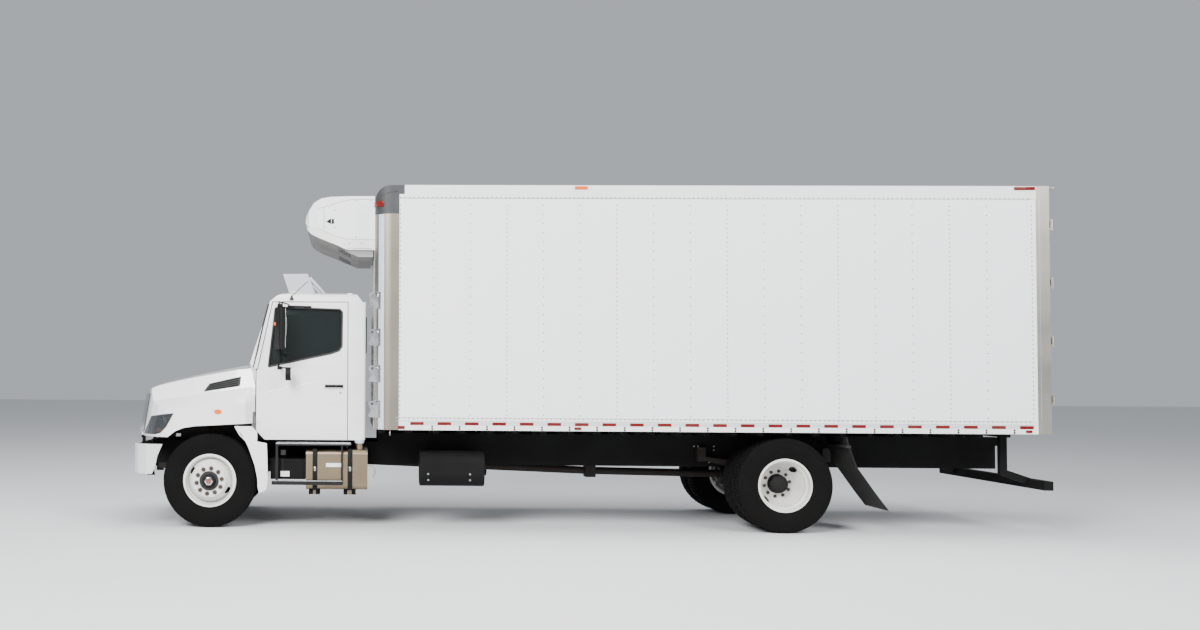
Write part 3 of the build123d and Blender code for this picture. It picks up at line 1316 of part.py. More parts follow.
# Rear doors with hinge straps, lock rods and handles
rod_radius = 10
rod_back = 18
strap_height = 22
rod_low = opening_low - 50
rod_high = opening_high + 50
guide_heights = (1420, 2300, 2700, 3540)
rod_positions = (330, 870)
for side, side_name in ((1, "left"), (-1, "right")):
    with BuildPart() as rear_door:
        x_low, x_high = sorted((side * center_gap / 2, side * (opening_x - door_gap)))
        span_box(x_low, x_high, y_body_rear - cargo_door_thickness, y_body_rear,
                 opening_low + door_gap, opening_high - door_gap)
        for z_hinge in hinge_heights:
            x_low, x_high = sorted((side * (opening_x - 220), side * (opening_x - door_gap)))
            span_box(x_low, x_high, y_body_rear, y_body_rear + strap_height, z_hinge - hinge_length / 2,
                     z_hinge + hinge_length / 2)
            x_low, x_high = sorted((side * (opening_x - door_gap - 5), side * hinge_x))
            span_box(x_low, x_high, y_body_rear + 6, y_body_rear + strap_height, z_hinge - hinge_length / 2,
                     z_hinge + hinge_length / 2)
            with Locations((side * hinge_x, hinge_y, z_hinge)):
                Cylinder(hinge_barrel_radius, hinge_length)
                Cylinder(hinge_pin_radius + pin_clearance, hinge_length, mode=Mode.SUBTRACT)
        for x_rod in rod_positions:
            with Locations((side * x_rod, y_body_rear + rod_back, (rod_low + rod_high) / 2)):
                Cylinder(rod_radius, rod_high - rod_low)
            for z_guide in guide_heights:
                span_box(side * x_rod - 34, side * x_rod + 34, y_body_rear, y_body_rear + rod_back,
                         z_guide - 18, z_guide + 18)
        handle_x = side * rod_positions[0]
        x_low, x_high = sorted((handle_x, handle_x + side * 420))
        span_box(x_low, x_high, y_body_rear + rod_back - 5, y_body_rear + rod_back + 5, 1880, 1910)
        x_low, x_high = sorted((handle_x + side * 380, handle_x + side * 410))
        span_box(x_low, x_high, y_body_rear, y_body_rear + rod_back, 1875, 1915)
    finish(rear_door.part, f"rear_door_{side_name}")

# Signal lamps: on the cab's roof and on the rear sill
with BuildPart() as signal_lamps:
    for x_lamp in (-690, -170, 0, 170, 690):
        with BuildSketch(side_plane(x_lamp - 45)):
            with BuildLine():
                Polyline(at_front(875, cab_roof_top), at_front(955, cab_roof_top), at_front(940, cab_roof_top + 22),
                         at_front(905, cab_roof_top + 24), close=True)
            make_face()
        extrude(amount=90)
    for x_lamp in (-1140, -1010, -130, 0, 130, 1010, 1140):
        with BuildSketch(cross_plane(y_body_rear + 14)):
            with Locations((x_lamp, body_floor + 62)):
                Circle(50 if abs(x_lamp) > 500 else 30)
        extrude(amount=14)
finish(signal_lamps.part, "signal_lamps")

# Climbing steps on the left front corner: an eye above a tread, and a curved foot on the post
step_heights = (1346, 1742, 2148, 2560)
step_profile = [(1900, -92), (1806, -92), (1784, -80), (1783, -58), (1800, -44), (1806, -10), (1796, 20),
                (1786, 44), (1786, 72), (1802, 90), (1842, 92), (1858, 76), (1862, 50), (1900, 40)]
climb_x = (1150, 1236)
step_foot = 6
with BuildPart() as climbing_steps:
    for z_step in step_heights:
        with BuildSketch(side_plane(climb_x[0])):
            with BuildLine():
                Polyline(*[at_front(s, z_step + rise) for s, rise in step_profile], close=True)
            make_face()
            with Locations(at_front(1823, z_step + 58)):
                Circle(15, mode=Mode.SUBTRACT)
        extrude(amount=climb_x[1] - climb_x[0])
        span_box(climb_x[0] + 14, climb_x[1] - 14, y_front_axle + 1780, y_front_axle + 1806,
                 z_step - 66, z_step - 20, mode=Mode.SUBTRACT)
        with BuildSketch(Plane.XY.offset(z_step - 96)):
            with Locations((post_x, y_body_front + front_corner_radius)):
                Circle(front_corner_radius + step_foot)
            with Locations((post_x + 100, y_body_front + 32)):
                Rectangle(150, 64, mode=Mode.INTERSECT)
        extrude(amount=192)
        with BuildSketch(Plane.XY.offset(z_step - 120)):
            with Locations((post_x, y_body_front + front_corner_radius)):
                Circle(front_corner_radius)
        extrude(amount=240, mode=Mode.SUBTRACT)
finish(climbing_steps.part, "climbing_steps")

# Cooling unit: housing above its seam, grey base below
unit_half_width = 960
unit_upper = [(1850, 3271), (1509, 3281), (1383, 3320), (1265, 3371), (1077, 3431), (1056, 3472), (1056, 3534),
              (1090, 3597), (1153, 3694), (1241, 3745), (1352, 3763), (1572, 3771), (1850, 3771)]
unit_lower = [(1850, 3154), (1555, 3154), (1500, 3170), (1434, 3203), (1324, 3246), (1214, 3290), (1122, 3340),
              (1077, 3386), (1070, 3431), (1265, 3371), (1383, 3320), (1509, 3281), (1850, 3271)]
unit_pan = [(1838, 3090), (1667, 3090), (1580, 3127), (1434, 3203), (1434, 3260), (1838, 3260)]
unit_pan_half_width = 800
unit_corner = 150
with BuildPart() as unit_plan:
    with BuildSketch(Plane.XY.offset(2900)):
        with BuildLine():
            y_nose = y_front_axle + 1050
            Polyline((-unit_half_width, y_body_front), (-unit_half_width, y_nose + unit_corner),
                     (-unit_half_width + 45, y_nose + 45), (-unit_half_width + unit_corner, y_nose),
                     (unit_half_width - unit_corner, y_nose), (unit_half_width - 45, y_nose + 45),
                     (unit_half_width, y_nose + unit_corner), (unit_half_width, y_body_front), close=True)
        make_face()
    extrude(amount=900)
for unit_name, unit_points in (("unit_housing", unit_upper), ("unit_base", unit_lower)):
    with BuildPart() as unit_piece:
        add(outline_prism(unit_points, -unit_half_width, unit_half_width))
        add(unit_plan.part, mode=Mode.INTERSECT)
        if unit_name == "unit_base":
            add(outline_prism(unit_pan, -unit_pan_half_width, unit_pan_half_width))
    finish(unit_piece.part, unit_name)
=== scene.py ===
"""Refrigerated truck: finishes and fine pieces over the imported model, in its own frame."""
import logging
import math
from dataclasses import dataclass
from enum import Enum
from typing import Iterable, Optional, Sequence

import bpy
from mathutils import Matrix, Vector


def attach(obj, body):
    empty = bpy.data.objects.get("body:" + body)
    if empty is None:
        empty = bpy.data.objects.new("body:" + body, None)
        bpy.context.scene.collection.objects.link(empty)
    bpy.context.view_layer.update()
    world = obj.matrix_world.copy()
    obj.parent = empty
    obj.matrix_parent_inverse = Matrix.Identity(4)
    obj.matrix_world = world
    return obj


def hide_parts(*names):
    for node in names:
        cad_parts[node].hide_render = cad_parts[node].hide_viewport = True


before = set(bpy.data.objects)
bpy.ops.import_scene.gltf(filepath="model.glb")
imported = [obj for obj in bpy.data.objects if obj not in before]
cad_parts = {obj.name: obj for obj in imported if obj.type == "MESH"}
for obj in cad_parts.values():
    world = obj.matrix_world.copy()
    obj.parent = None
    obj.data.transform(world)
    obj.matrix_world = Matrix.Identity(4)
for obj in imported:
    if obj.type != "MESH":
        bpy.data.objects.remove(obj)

logging.basicConfig(level=logging.INFO, format="%(message)s")
LOG = logging.getLogger("truck")
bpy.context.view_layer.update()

Point = tuple[float, float, float]
Flat = tuple[float, float]
Seat = tuple[Point, Point]
Piece = bpy.types.Object
Tree = bpy.types.NodeTree
Socket = bpy.types.NodeSocket

# Places below are in millimetres: left of the middle, behind the front axle, above the ground
FRONT_AXLE_Y = -4215.0
REAR_AXLE = 6400.0
AXLE_HEIGHT = 526.0
BODY_FRONT = 1850.0
BODY_REAR = 9270.0
BODY_HALF = 1295.0
SKIN_HALF = 1290.0
BODY_BOTTOM = 1117.0
FLOOR_TOP = 1257.0
RAIL_LOW = 3701.0
BODY_TOP = 3850.0
CAB_SIDE = ((985, 1008), (1380, 1018), (1840, 1012), (2562, 938))
POST_RADIUS = 180.0
POST_CENTRE = (1115.0, BODY_FRONT + POST_RADIUS)
PLATE_X = (-152, 152)
LEFT: Point = (1, 0, 0)

# Bodies of the moving pairs, left then right; their own nodes have the same names
FRONT_WHEELS = ("wheel_front_left", "wheel_front_right")
REAR_WHEELS = ("wheels_rear_left", "wheels_rear_right")
CAB_DOORS = ("cab_door_left", "cab_door_right")
REAR_DOORS = ("rear_door_left", "rear_door_right")


class Along(Enum):
    """Axis that a piece runs along."""

    ACROSS = 0
    LENGTH = 1
    UP = 2


def at(x: float, s: float, z: float) -> Vector:
    """Turns millimetres left of the middle, behind the front axle and above the ground into the frame's metres."""
    return Vector((x / 1000, (FRONT_AXLE_Y + s) / 1000, z / 1000))


def cab_side(z: float) -> float:
    """Gives the outer face of the cab's side at a height.

    Args:
        z: Height in mm.

    Returns:
        Distance from the middle in mm.
    """
    for (low, near), (high, far) in zip(CAB_SIDE[:-1], CAB_SIDE[1:]):
        if z <= high:
            return near + (far - near) * (z - low) / (high - low)
    return CAB_SIDE[-1][1]


def facing_left(x: float, spots: Iterable[Flat]) -> list[Seat]:
    """Gives seats that face left, at a distance from the middle and at stations and heights."""
    return [((x, s, z), LEFT) for s, z in spots]


def linear(code: str) -> tuple[float, float, float, float]:
    """Turns an sRGB hex code into a linear colour.

    Args:
        code: Colour as #rrggbb.

    Returns:
        Red, green, blue and alpha, linear.
    """
    values = [int(code[i:i + 2], 16) / 255 for i in (1, 3, 5)]
    red, green, blue = (v / 12.92 if v <= 0.04045 else ((v + 0.055) / 1.055) ** 2.4 for v in values)
    return (red, green, blue, 1.0)


# Finishes


class Weave(Enum):
    """Kind of fine pattern in a surface."""

    NONE = "none"
    GRAIN = "grain"
    BRUSHED = "brushed"
    CLOTH = "cloth"
    RIBBED = "ribbed"


@dataclass(frozen=True)
class Where:
    """Region of a node that shows a second finish.

    Attributes:
        along: Axis that is tested, or None for the distance from a wheel's axle.
        limit: Limit in mm, in the coordinates of at().
        above: True for the side past the limit.
        axle: Station of the axle, where the distance from it counts.
        facing: True to test the way that the surface faces, as a share along the axis.
    """

    along: Optional[Along]
    limit: float
    above: bool = True
    axle: float = 0.0
    facing: bool = False


@dataclass(frozen=True)
class Finish:
    """One material: what it is and what the eye sees.

    Attributes:
        name: Common name and how it is made.
        colour: Main colour as an sRGB hex code.
        roughness: Mean roughness.
        metallic: 1 for bare metal.
        ior: Index of refraction; a metal keeps the shader's own.
        coat: Weight of a clear coat.
        transmission: Share of light let through.
        dirt: Colour of the film on it.
        dirt_share: How much of that film shows.
        dirt_top: Height in mm where road film ends; 0 for none.
        mottle_mm: Size of the uneven patches.
        mottle: How far patches change the roughness.
        weave: Fine pattern.
        weave_mm: Size of the fine pattern.
        bump_mm: Depth of the fine pattern.
        wave_mm: Depth of slow waves in sheet metal.
        glow: Strength of its own light.
        second: Finish of the region that where gives.
        where: That region.
    """

    name: str
    colour: str
    roughness: float = 0.4
    metallic: float = 0.0
    ior: float = 1.5
    coat: float = 0.0
    transmission: float = 0.0
    dirt: str = "#7d7466"
    dirt_share: float = 0.1
    dirt_top: float = 0.0
    mottle_mm: float = 60.0
    mottle: float = 0.08
    weave: Weave = Weave.NONE
    weave_mm: float = 1.0
    bump_mm: float = 0.0
    wave_mm: float = 0.0
    glow: float = 0.0
    second: Optional["Finish"] = None
    where: Optional[Where] = None


class Paint:
    """Builds each finish once as a node material.

    The noise values between the ends of sheen_ends spread the roughness, and those between the ends of film_ends
    bring the dirt in. road_low is the height in metres under which road film is at its full share, road_share.
    """

    coat_roughness: float = 0.06
    sheen_ends: Flat = (0.3, 0.7)
    film_ends: Flat = (0.35, 0.75)
    road_low: float = 0.15
    road_share: float = 0.35
    wave_scale: float = 1.6
    wave_strength: float = 0.35
    fine_strength: float = 0.7
    made: dict[str, bpy.types.Material] = {}

    @staticmethod
    def node(tree: Tree, kind: str, values: Optional[dict] = None, links: Optional[dict] = None,
             **settings) -> bpy.types.Node:
        """Adds a node.

        Args:
            tree: Tree that the node goes into.
            kind: Name of the shader node's class, after its common beginning.
            values: Input name or number to a plain value.
            links: Input name or number to the socket that feeds it.
            **settings: Attributes of the node.

        Returns:
            The new node.
        """
        made = tree.nodes.new("ShaderNode" + kind)
        for key, value in settings.items():
            setattr(made, key, value)
        for key, value in (values or {}).items():
            made.inputs[key].default_value = value
        for key, socket in (links or {}).items():
            tree.links.new(socket, made.inputs[key])
        return made

    @classmethod
    def spread(cls, tree: Tree, value: Socket, ends: Flat, onto: Flat) -> Socket:
        """Maps the values between two ends onto two others."""
        return cls.node(tree, "MapRange", {"From Min": ends[0], "From Max": ends[1], "To Min": onto[0],
                                           "To Max": onto[1]}, {"Value": value}).outputs[0]

    @classmethod
    def bump(cls, tree: Tree, height: Socket, strength: float, depth_mm: float, under: Optional[Socket] = None
             ) -> Socket:
        """Turns a height into a normal.

        Args:
            tree: The material's tree.
            height: The height.
            strength: Strength of the relief.
            depth_mm: Its depth.
            under: Normal of a coarser relief under it.

        Returns:
            The socket of the normal.
        """
        links = {"Height": height}
        if under is not None:
            links["Normal"] = under
        return cls.node(tree, "Bump", {"Strength": strength, "Distance": depth_mm / 1000}, links).outputs[0]

    @classmethod
    def of(cls, finish: Finish) -> bpy.types.Material:
        """Gives the material of a finish, building it at its first use.

        Args:
            finish: The finish wanted.

        Returns:
            The material.
        """
        if finish.name not in cls.made:
            cls.made[finish.name] = cls._build(finish)
        return cls.made[finish.name]

    @classmethod
    def _build(cls, f: Finish) -> bpy.types.Material:
        """Builds one material.

        Args:
            f: The finish.

        Returns:
            The material.
        """
        material = bpy.data.materials.new(f.name)
        material.use_nodes = True
        tree = material.node_tree
        shader = tree.nodes["Principled BSDF"]
        shader.inputs["Metallic"].default_value = f.metallic
        if not f.metallic:
            shader.inputs["IOR"].default_value = f.ior
        shader.inputs["Coat Weight"].default_value = f.coat
        shader.inputs["Coat Roughness"].default_value = cls.coat_roughness
        shader.inputs["Transmission Weight"].default_value = f.transmission
        place = cls.node(tree, "TexCoord").outputs["Object"]
        colour, rough, normal = cls._surface(tree, f, place)
        if f.second and f.where:
            share = cls._region(tree, f.where, place)
            other_colour, other_rough, _ = cls._surface(tree, f.second, place)
            colour = cls.node(tree, "Mix", None, {0: share, 6: colour, 7: other_colour},
                              data_type="RGBA").outputs[2]
            rough = cls.node(tree, "Mix", None, {0: share, 2: rough, 3: other_rough}).outputs[0]
            metal = cls.node(tree, "Mix", {2: f.metallic, 3: f.second.metallic}, {0: share})
            tree.links.new(metal.outputs[0], shader.inputs["Metallic"])
        tree.links.new(colour, shader.inputs["Base Color"])
        tree.links.new(rough, shader.inputs["Roughness"])
        if normal is not None:
            tree.links.new(normal, shader.inputs["Normal"])
        # Emission; the faint glow of the amber lenses is painted light
        if f.glow:
            shader.inputs["Emission Color"].default_value = linear(f.colour)
            shader.inputs["Emission Strength"].default_value = f.glow
        return material

    @classmethod
    def _region(cls, tree: Tree, where: Where, place: Socket) -> Socket:
        """Adds the test for the region of a second finish.

        Args:
            tree: The material's tree.
            where: The region.
            place: Object coordinates.

        Returns:
            A socket that is 1 inside the region.
        """
        if where.along is None:
            centre = at(0, where.axle, AXLE_HEIGHT)
            out = cls.node(tree, "VectorMath", {1: centre}, {0: place}, operation="SUBTRACT")
            flat = cls.node(tree, "VectorMath", {1: (0.0, 1.0, 1.0)}, {0: out.outputs[0]},
                            operation="MULTIPLY")
            value = cls.node(tree, "VectorMath", None, {0: flat.outputs[0]}, operation="LENGTH").outputs[1]
            limit = where.limit / 1000
        elif where.facing:
            faces = cls.node(tree, "SeparateXYZ", None, {"Vector": cls.node(tree, "NewGeometry").outputs["Normal"]})
            value, limit = faces.outputs[where.along.value], where.limit
        else:
            parts = cls.node(tree, "SeparateXYZ", None, {"Vector": place})
            value = parts.outputs[where.along.value]
            if where.along is Along.ACROSS:
                value = cls.node(tree, "Math", None, {0: value}, operation="ABSOLUTE").outputs[0]
            limit = at(where.limit, where.limit, where.limit)[where.along.value]
        test = "GREATER_THAN" if where.above else "LESS_THAN"
        return cls.node(tree, "Math", {1: limit}, {0: value}, operation=test).outputs[0]

    @classmethod
    def _surface(cls, tree: Tree, f: Finish, place: Socket) -> tuple:
        """Adds one finish's colour, roughness and normal.

        Args:
            tree: The material's tree.
            f: The finish.
            place: Object coordinates.

        Returns:
            The sockets of colour and roughness, and of the normal or None.
        """
        # Uneven patches vary the sheen and carry the film of dirt
        patches = cls.node(tree, "TexNoise", {"Scale": 250 / f.mottle_mm, "Detail": 5.0, "Roughness": 0.6},
                           {"Vector": place})
        fac = patches.outputs["Fac"]
        rough = cls.spread(tree, fac, cls.sheen_ends,
                           (max(f.roughness - f.mottle, 0.02), min(f.roughness + f.mottle, 1.0)))
        amount = cls.spread(tree, fac, cls.film_ends, (0.0, f.dirt_share))
        if f.dirt_top:
            height = cls.node(tree, "SeparateXYZ", None, {"Vector": place}).outputs["Z"]
            low = cls.spread(tree, height, (cls.road_low, f.dirt_top / 1000), (cls.road_share, 0.0))
            film = cls.node(tree, "Math", None, {0: low, 1: fac}, operation="MULTIPLY").outputs[0]
            amount = cls.node(tree, "Math", None, {0: film, 1: amount}, operation="ADD", use_clamp=True).outputs[0]
        colour = cls.node(tree, "Mix", {6: linear(f.colour), 7: linear(f.dirt)}, {0: amount},
                          data_type="RGBA").outputs[2]
        normal = None
        if f.wave_mm:
            slow = cls.node(tree, "TexNoise", {"Scale": cls.wave_scale, "Detail": 1.0}, {"Vector": place})
            normal = cls.bump(tree, slow.outputs["Fac"], cls.wave_strength, f.wave_mm)
        fine = cls._pattern(tree, f, place)
        if fine is not None:
            normal = cls.bump(tree, fine, cls.fine_strength, f.bump_mm, normal)
        return colour, rough, normal

    @classmethod
    def _pattern(cls, tree: Tree, f: Finish, place: Socket
                 ) -> Optional[Socket]:
        """Adds the fine pattern of a finish.

        Args:
            tree: The material's tree.
            f: The finish.
            place: Object coordinates.

        Returns:
            The height socket, or None where there's no pattern.
        """
        scale = 1000 / f.weave_mm
        if f.weave is Weave.GRAIN:
            return cls.node(tree, "TexNoise", {"Scale": scale, "Detail": 4.0},
                            {"Vector": place}).outputs["Fac"]
        if f.weave is Weave.BRUSHED:
            drawn = cls.node(tree, "Mapping", {"Scale": (scale, 3.0, scale)}, {"Vector": place})
            return cls.node(tree, "TexNoise", {"Scale": 1.0, "Detail": 3.0},
                            {"Vector": drawn.outputs[0]}).outputs["Fac"]
        if f.weave is Weave.CLOTH:
            runs = [cls.node(tree, "TexWave", {"Scale": scale / 6, "Distortion": 0.4},
                             {"Vector": place}, bands_direction=way).outputs["Fac"] for way in ("X", "Z")]
            return cls.node(tree, "Math", None, {0: runs[0], 1: runs[1]}, operation="MAXIMUM").outputs[0]
        if f.weave is Weave.RIBBED:
            return cls.node(tree, "TexWave", {"Scale": scale / 6}, {"Vector": place},
                            bands_direction="X").outputs["Fac"]
        return None


# White truck paint, sprayed over steel and moulded panels: warm white, soft gloss, a thin road film low down
CAB_PAINT = Finish("Urethane paint, sprayed white", "#eeeeec", 0.22, coat=0.6, dirt="#8d857a", dirt_share=0.05,
                   dirt_top=950, mottle_mm=240, mottle=0.04)
# Moulded bumper, light grey and flatter than the hood
BUMPER_PAINT = Finish("Moulded bumper plastic, painted light grey", "#d4d5d5", 0.38, coat=0.15, dirt_share=0.14,
                      dirt_top=1000, mottle_mm=120)
# Bright cool white sheet, slightly wavy between the rivet columns
BODY_SKIN = Finish("Aluminium sheet, coil-coated white", "#f3f4f6", 0.3, coat=0.2, dirt="#8e8a84",
                   dirt_share=0.045, mottle_mm=700, mottle=0.05, wave_mm=3.0)
# Roof of the box gone dull
ROOF_SKIN = Finish("Glass fibre sheet, laminated", "#e3e4e2", 0.55, dirt_share=0.2, mottle_mm=500)
# Tan grey, streaked by road film
POST_ALLOY = Finish("Aluminium extrusion, bare and weathered", "#8d877b", 0.42, 0.9, dirt="#6f675a", dirt_share=0.25,
                    mottle_mm=180, weave=Weave.BRUSHED, weave_mm=0.8, bump_mm=0.04)
# Pale grey with drawn lines along the truck
RAIL_ALLOY = Finish("Aluminium extrusion, anodised", "#c6c8ca", 0.36, 1.0, dirt_share=0.16, mottle_mm=150,
                    weave=Weave.BRUSHED, weave_mm=0.8, bump_mm=0.04)
# Front corner posts left bare, the rest white
RAIL_PAINT = Finish("Aluminium extrusion, white behind the bare corner posts", "#eceded", 0.32, coat=0.2,
                    dirt_share=0.08, mottle_mm=260, second=POST_ALLOY, where=Where(Along.LENGTH, 2119, False))
# Bluish white strip round the corner post: a painted highlight standing in for the sky's reflection on the post's
# curve; on the tank cap it is bright metal
BRIGHT_METAL_AND_PAINTED_HIGHLIGHT = Finish("Aluminium strip, bright rolled and lacquered", "#dbe5ef", 0.3, 0.35, dirt_share=0.06, mottle_mm=60)
# Slightly tan from road film
STAINLESS = Finish("Stainless steel, brushed", "#b9b5ad", 0.34, 1.0, dirt="#8a7c68", dirt_share=0.2,
                   mottle_mm=140, weave=Weave.BRUSHED, weave_mm=0.5, bump_mm=0.03)
# Polished by boots on the treads
BRIGHT_CAST = Finish("Zinc alloy, die cast", "#cfd1d3", 0.26, 1.0, dirt_share=0.1, mottle_mm=30,
                     weave=Weave.GRAIN, weave_mm=1.5, bump_mm=0.08)
# Dark blotchy grey with a coarse grain
DARK_CAST = Finish("Aluminium casting, weathered", "#3c3e42", 0.62, 0.5, dirt_share=0.2, mottle_mm=40,
                   weave=Weave.GRAIN, weave_mm=2.0, bump_mm=0.15)
# Near black and dusty, greyer low down
CHASSIS_BLACK = Finish("Chassis enamel, brushed black on steel", "#050505", 0.8, ior=1.3, dirt="#14110f",
                       dirt_share=0.3, dirt_top=800, mottle_mm=90, weave=Weave.GRAIN, weave_mm=3, bump_mm=0.1)
# Nearly black brown, rusty patches
RUSTY_IRON = Finish("Cast iron, rusted under old paint", "#15120f", 0.75, 0.2, dirt="#2e1f15", dirt_share=0.5,
                    mottle_mm=45, weave=Weave.GRAIN, weave_mm=2.5, bump_mm=0.25)
# Soft black grey, brown dust low down
TYRE = Finish("Tyre rubber, moulded", "#040404", 0.9, ior=1.25, dirt="#14110f", dirt_share=0.25, dirt_top=700,
              mottle_mm=60, weave=Weave.GRAIN, weave_mm=1.2, bump_mm=0.12)
# Black with a dull oily sheen
HUB_BLACK = Finish("Hub iron, oil-blackened", "#060505", 0.62, ior=1.35, dirt="#1c1612", dirt_share=0.3,
                   mottle_mm=30)
# Dark grey-brown, oily
WHEEL_NUT = Finish("Wheel nuts, forged steel, oiled", "#4b4540", 0.42, 0.7, dirt="#5e4633", dirt_share=0.4,
                   mottle_mm=15)
# Black with a reddish centre in a bright ring
CAP_FRONT = Finish("Hub cap, pressed, black round a stained centre", "#060606", 0.55, ior=1.35, dirt="#1c1915",
                   dirt_share=0.15, mottle_mm=20, where=Where(None, 31, False),
                   second=Finish("Hub cap centre, stained", "#8a5148", 0.5, 0.2, dirt_share=0.3))
# Off-white enamel with grey brake dust; the drums inside are bare iron
WHEEL_FRONT = Finish("Wheel enamel, baked on steel, front", "#e4e4e0", 0.34, coat=0.2, dirt="#8b8478",
                     dirt_share=0.3, mottle_mm=50, second=HUB_BLACK, where=Where(None, 109, False))
WHEEL_REAR = Finish("Wheel enamel, baked on steel, rear", "#dddcd6", 0.34, coat=0.2, dirt="#7f776b",
                    dirt_share=0.35, mottle_mm=50, second=HUB_BLACK, where=Where(None, 108, False, REAR_AXLE))
# Matt black line round glass and doors
GASKET = Finish("Window rubber, extruded", "#0e0e0f", 0.6, dirt_share=0.08, weave=Weave.GRAIN, weave_mm=1,
                bump_mm=0.05)
# Black with a fine leather grain and little shine
BLACK_PLASTIC = Finish("Polypropylene, moulded black", "#050505", 0.6, ior=1.3, dirt="#23201d", dirt_share=0.1,
                       weave=Weave.GRAIN, weave_mm=1.0, bump_mm=0.08)
# Matt black with dried mud
FLAP_RUBBER = Finish("Rubber flaps, pressed, behind white quarter panels", "#080808", 0.8, dirt="#241f1a",
                     dirt_share=0.4, dirt_top=1000, mottle_mm=80, weave=Weave.GRAIN, weave_mm=2, bump_mm=0.2,
                     second=CAB_PAINT, where=Where(Along.LENGTH, 1000, False))
# Grey-green, darker than clear, sharp reflections
TINTED = Finish("Safety glass, tinted", "#3d4644", 0.03, ior=1.52, transmission=0.85, dirt_share=0.02,
                mottle=0.01)
# Grey from scratches, see-through to a dark housing
CLEAR = Finish("Polycarbonate lens, moulded clear, dulled", "#8e9498", 0.1, ior=1.5, transmission=0.9,
               dirt="#6f7274", dirt_share=0.25, mottle_mm=25, mottle=0.05)
# Saturated orange with a faint painted glow, so that it seems to hold light
AMBER_LENS_PAINTED_GLOW = Finish("Acrylic lens, moulded amber", "#e06408", 0.14, ior=1.49, glow=0.12,
                    mottle=0.03)
# Deep dark red with a small sharp highlight
RED_LENS = Finish("Acrylic lens, moulded red", "#6a0505", 0.2, ior=1.4, mottle=0.03)
# Milky white
PALE_LENS = Finish("Acrylic lens, moulded white", "#e9e6dc", 0.2, ior=1.49, mottle=0.03)
# Bright red low down at the tail, milky on the roof
LAMPS = Finish("Acrylic lenses, red at the tail and pale on the roof", "#a3120c", 0.12, ior=1.49, mottle=0.03,
               second=PALE_LENS, where=Where(Along.UP, 2000))
# Mirror bright
CHROME = Finish("Chromium, plated on plastic", "#dcdfe2", 0.08, 1.0, dirt_share=0.06, mottle=0.04)
# Bright bars at the nose; the side vents of the same piece are black
GRILLE = Finish("Grille plating, with black vents at the sides", "#dcdfe2", 0.1, 1.0, dirt_share=0.06,
                mottle=0.04, second=BLACK_PLASTIC, where=Where(Along.ACROSS, 600))
# Dull sheen with fine scratches
TANK_ALLOY = Finish("Aluminium sheet, brushed", "#93836e", 0.36, 1.0, dirt="#55483a", dirt_share=0.3,
                    dirt_top=900, mottle_mm=70, weave=Weave.BRUSHED, weave_mm=0.6, bump_mm=0.05)
# Flat light grey, a shade under the white cab
GREY_SHEET = Finish("Galvanised sheet, painted light grey", "#b6b7bc", 0.45, dirt_share=0.1, mottle_mm=90)
# Slightly glossier than the body
UNIT_SHELL = Finish("Gel-coated cover, moulded white", "#eff0ef", 0.28, coat=0.3, dirt_share=0.07, mottle_mm=200)
# Warm mid grey, matt; also the painted shade on the faces of the unit's base that turn downward
UNIT_GREY = Finish("Polyethylene base, moulded grey", "#77736f", 0.55, dirt_share=0.15, weave=Weave.GRAIN,
                   weave_mm=2, bump_mm=0.1)
# White skirt at the sides; every face that turns downward is grey, partly the grey pan and duct between them and partly
# painted shade on the undersides
UNIT_SKIRT_SHADED_BELOW = Finish("Moulded skirt, white, with a grey pan", "#e8e8e5", 0.32, coat=0.2, dirt_share=0.1, mottle_mm=160,
                   second=UNIT_GREY, where=Where(Along.UP, -0.25, False, facing=True))
# Dark red with a fine cell pattern
TAPE_RED = Finish("Prismatic tape, red", "#660508", 0.4, ior=1.3, weave=Weave.GRAIN, weave_mm=2.5, bump_mm=0.05)
# Silvery white, brighter than the rail
TAPE_WHITE = Finish("Prismatic tape, silver white", "#e6e8ea", 0.22, 0.3, coat=0.5, weave=Weave.GRAIN,
                    weave_mm=2.5, bump_mm=0.05)
# Charcoal, a fine over-and-under weave
SEAT_CLOTH = Finish("Polyester upholstery, woven", "#3a3b3e", 0.9, weave=Weave.CLOTH, weave_mm=1.6, bump_mm=0.3)
# Mid grey with pebbled grain
LINING = Finish("Vinyl, embossed grey", "#5c5e61", 0.62, weave=Weave.GRAIN, weave_mm=1.6, bump_mm=0.12)
# Dull silver ribs along the load space
FLOOR_ALLOY = Finish("Aluminium duct floor, extruded", "#a6a9ab", 0.42, 1.0, dirt_share=0.25,
                     weave=Weave.RIBBED, weave_mm=40, bump_mm=4)
# Bright but greyed bolt heads
ZINC = Finish("Steel fasteners, zinc plated", "#a9abac", 0.4, 1.0, dirt_share=0.2, mottle_mm=20)
# Heads in mid grey, far darker than the white sheet round them, so that they show as dots
RIVET_MID_GREY = Finish("Aluminium rivets, mid grey", "#7c8085", 0.4, dirt="#77736c", dirt_share=0.3,
                     mottle_mm=200)
# A clean reflection
MIRROR_GLASS = Finish("Mirror glass, silvered", "#e8ebed", 0.02, 1.0, dirt_share=0.02, mottle=0.01)
# White sheet, with brushed rods and straps standing off it
DOOR_SKIN = Finish("Door sheet, coil-coated white, with steel hardware", "#f1f2f3", 0.3, coat=0.2,
                   dirt_share=0.06, mottle_mm=500, second=STAINLESS, where=Where(Along.LENGTH, BODY_REAR + 1))
# Bright worn treads on black brackets
STEP_ALLOY = Finish("Step alloy, bright above black brackets", "#0a0a0b", 0.6, ior=1.35, dirt="#26221e",
                    dirt_share=0.3, dirt_top=900, second=BRIGHT_CAST, where=Where(Along.UP, 944))
# Blank sticker stock
LABEL = Finish("Vinyl label, blank white", "#e9e9e6", 0.45, coat=0.2, dirt_share=0.15, mottle_mm=20)
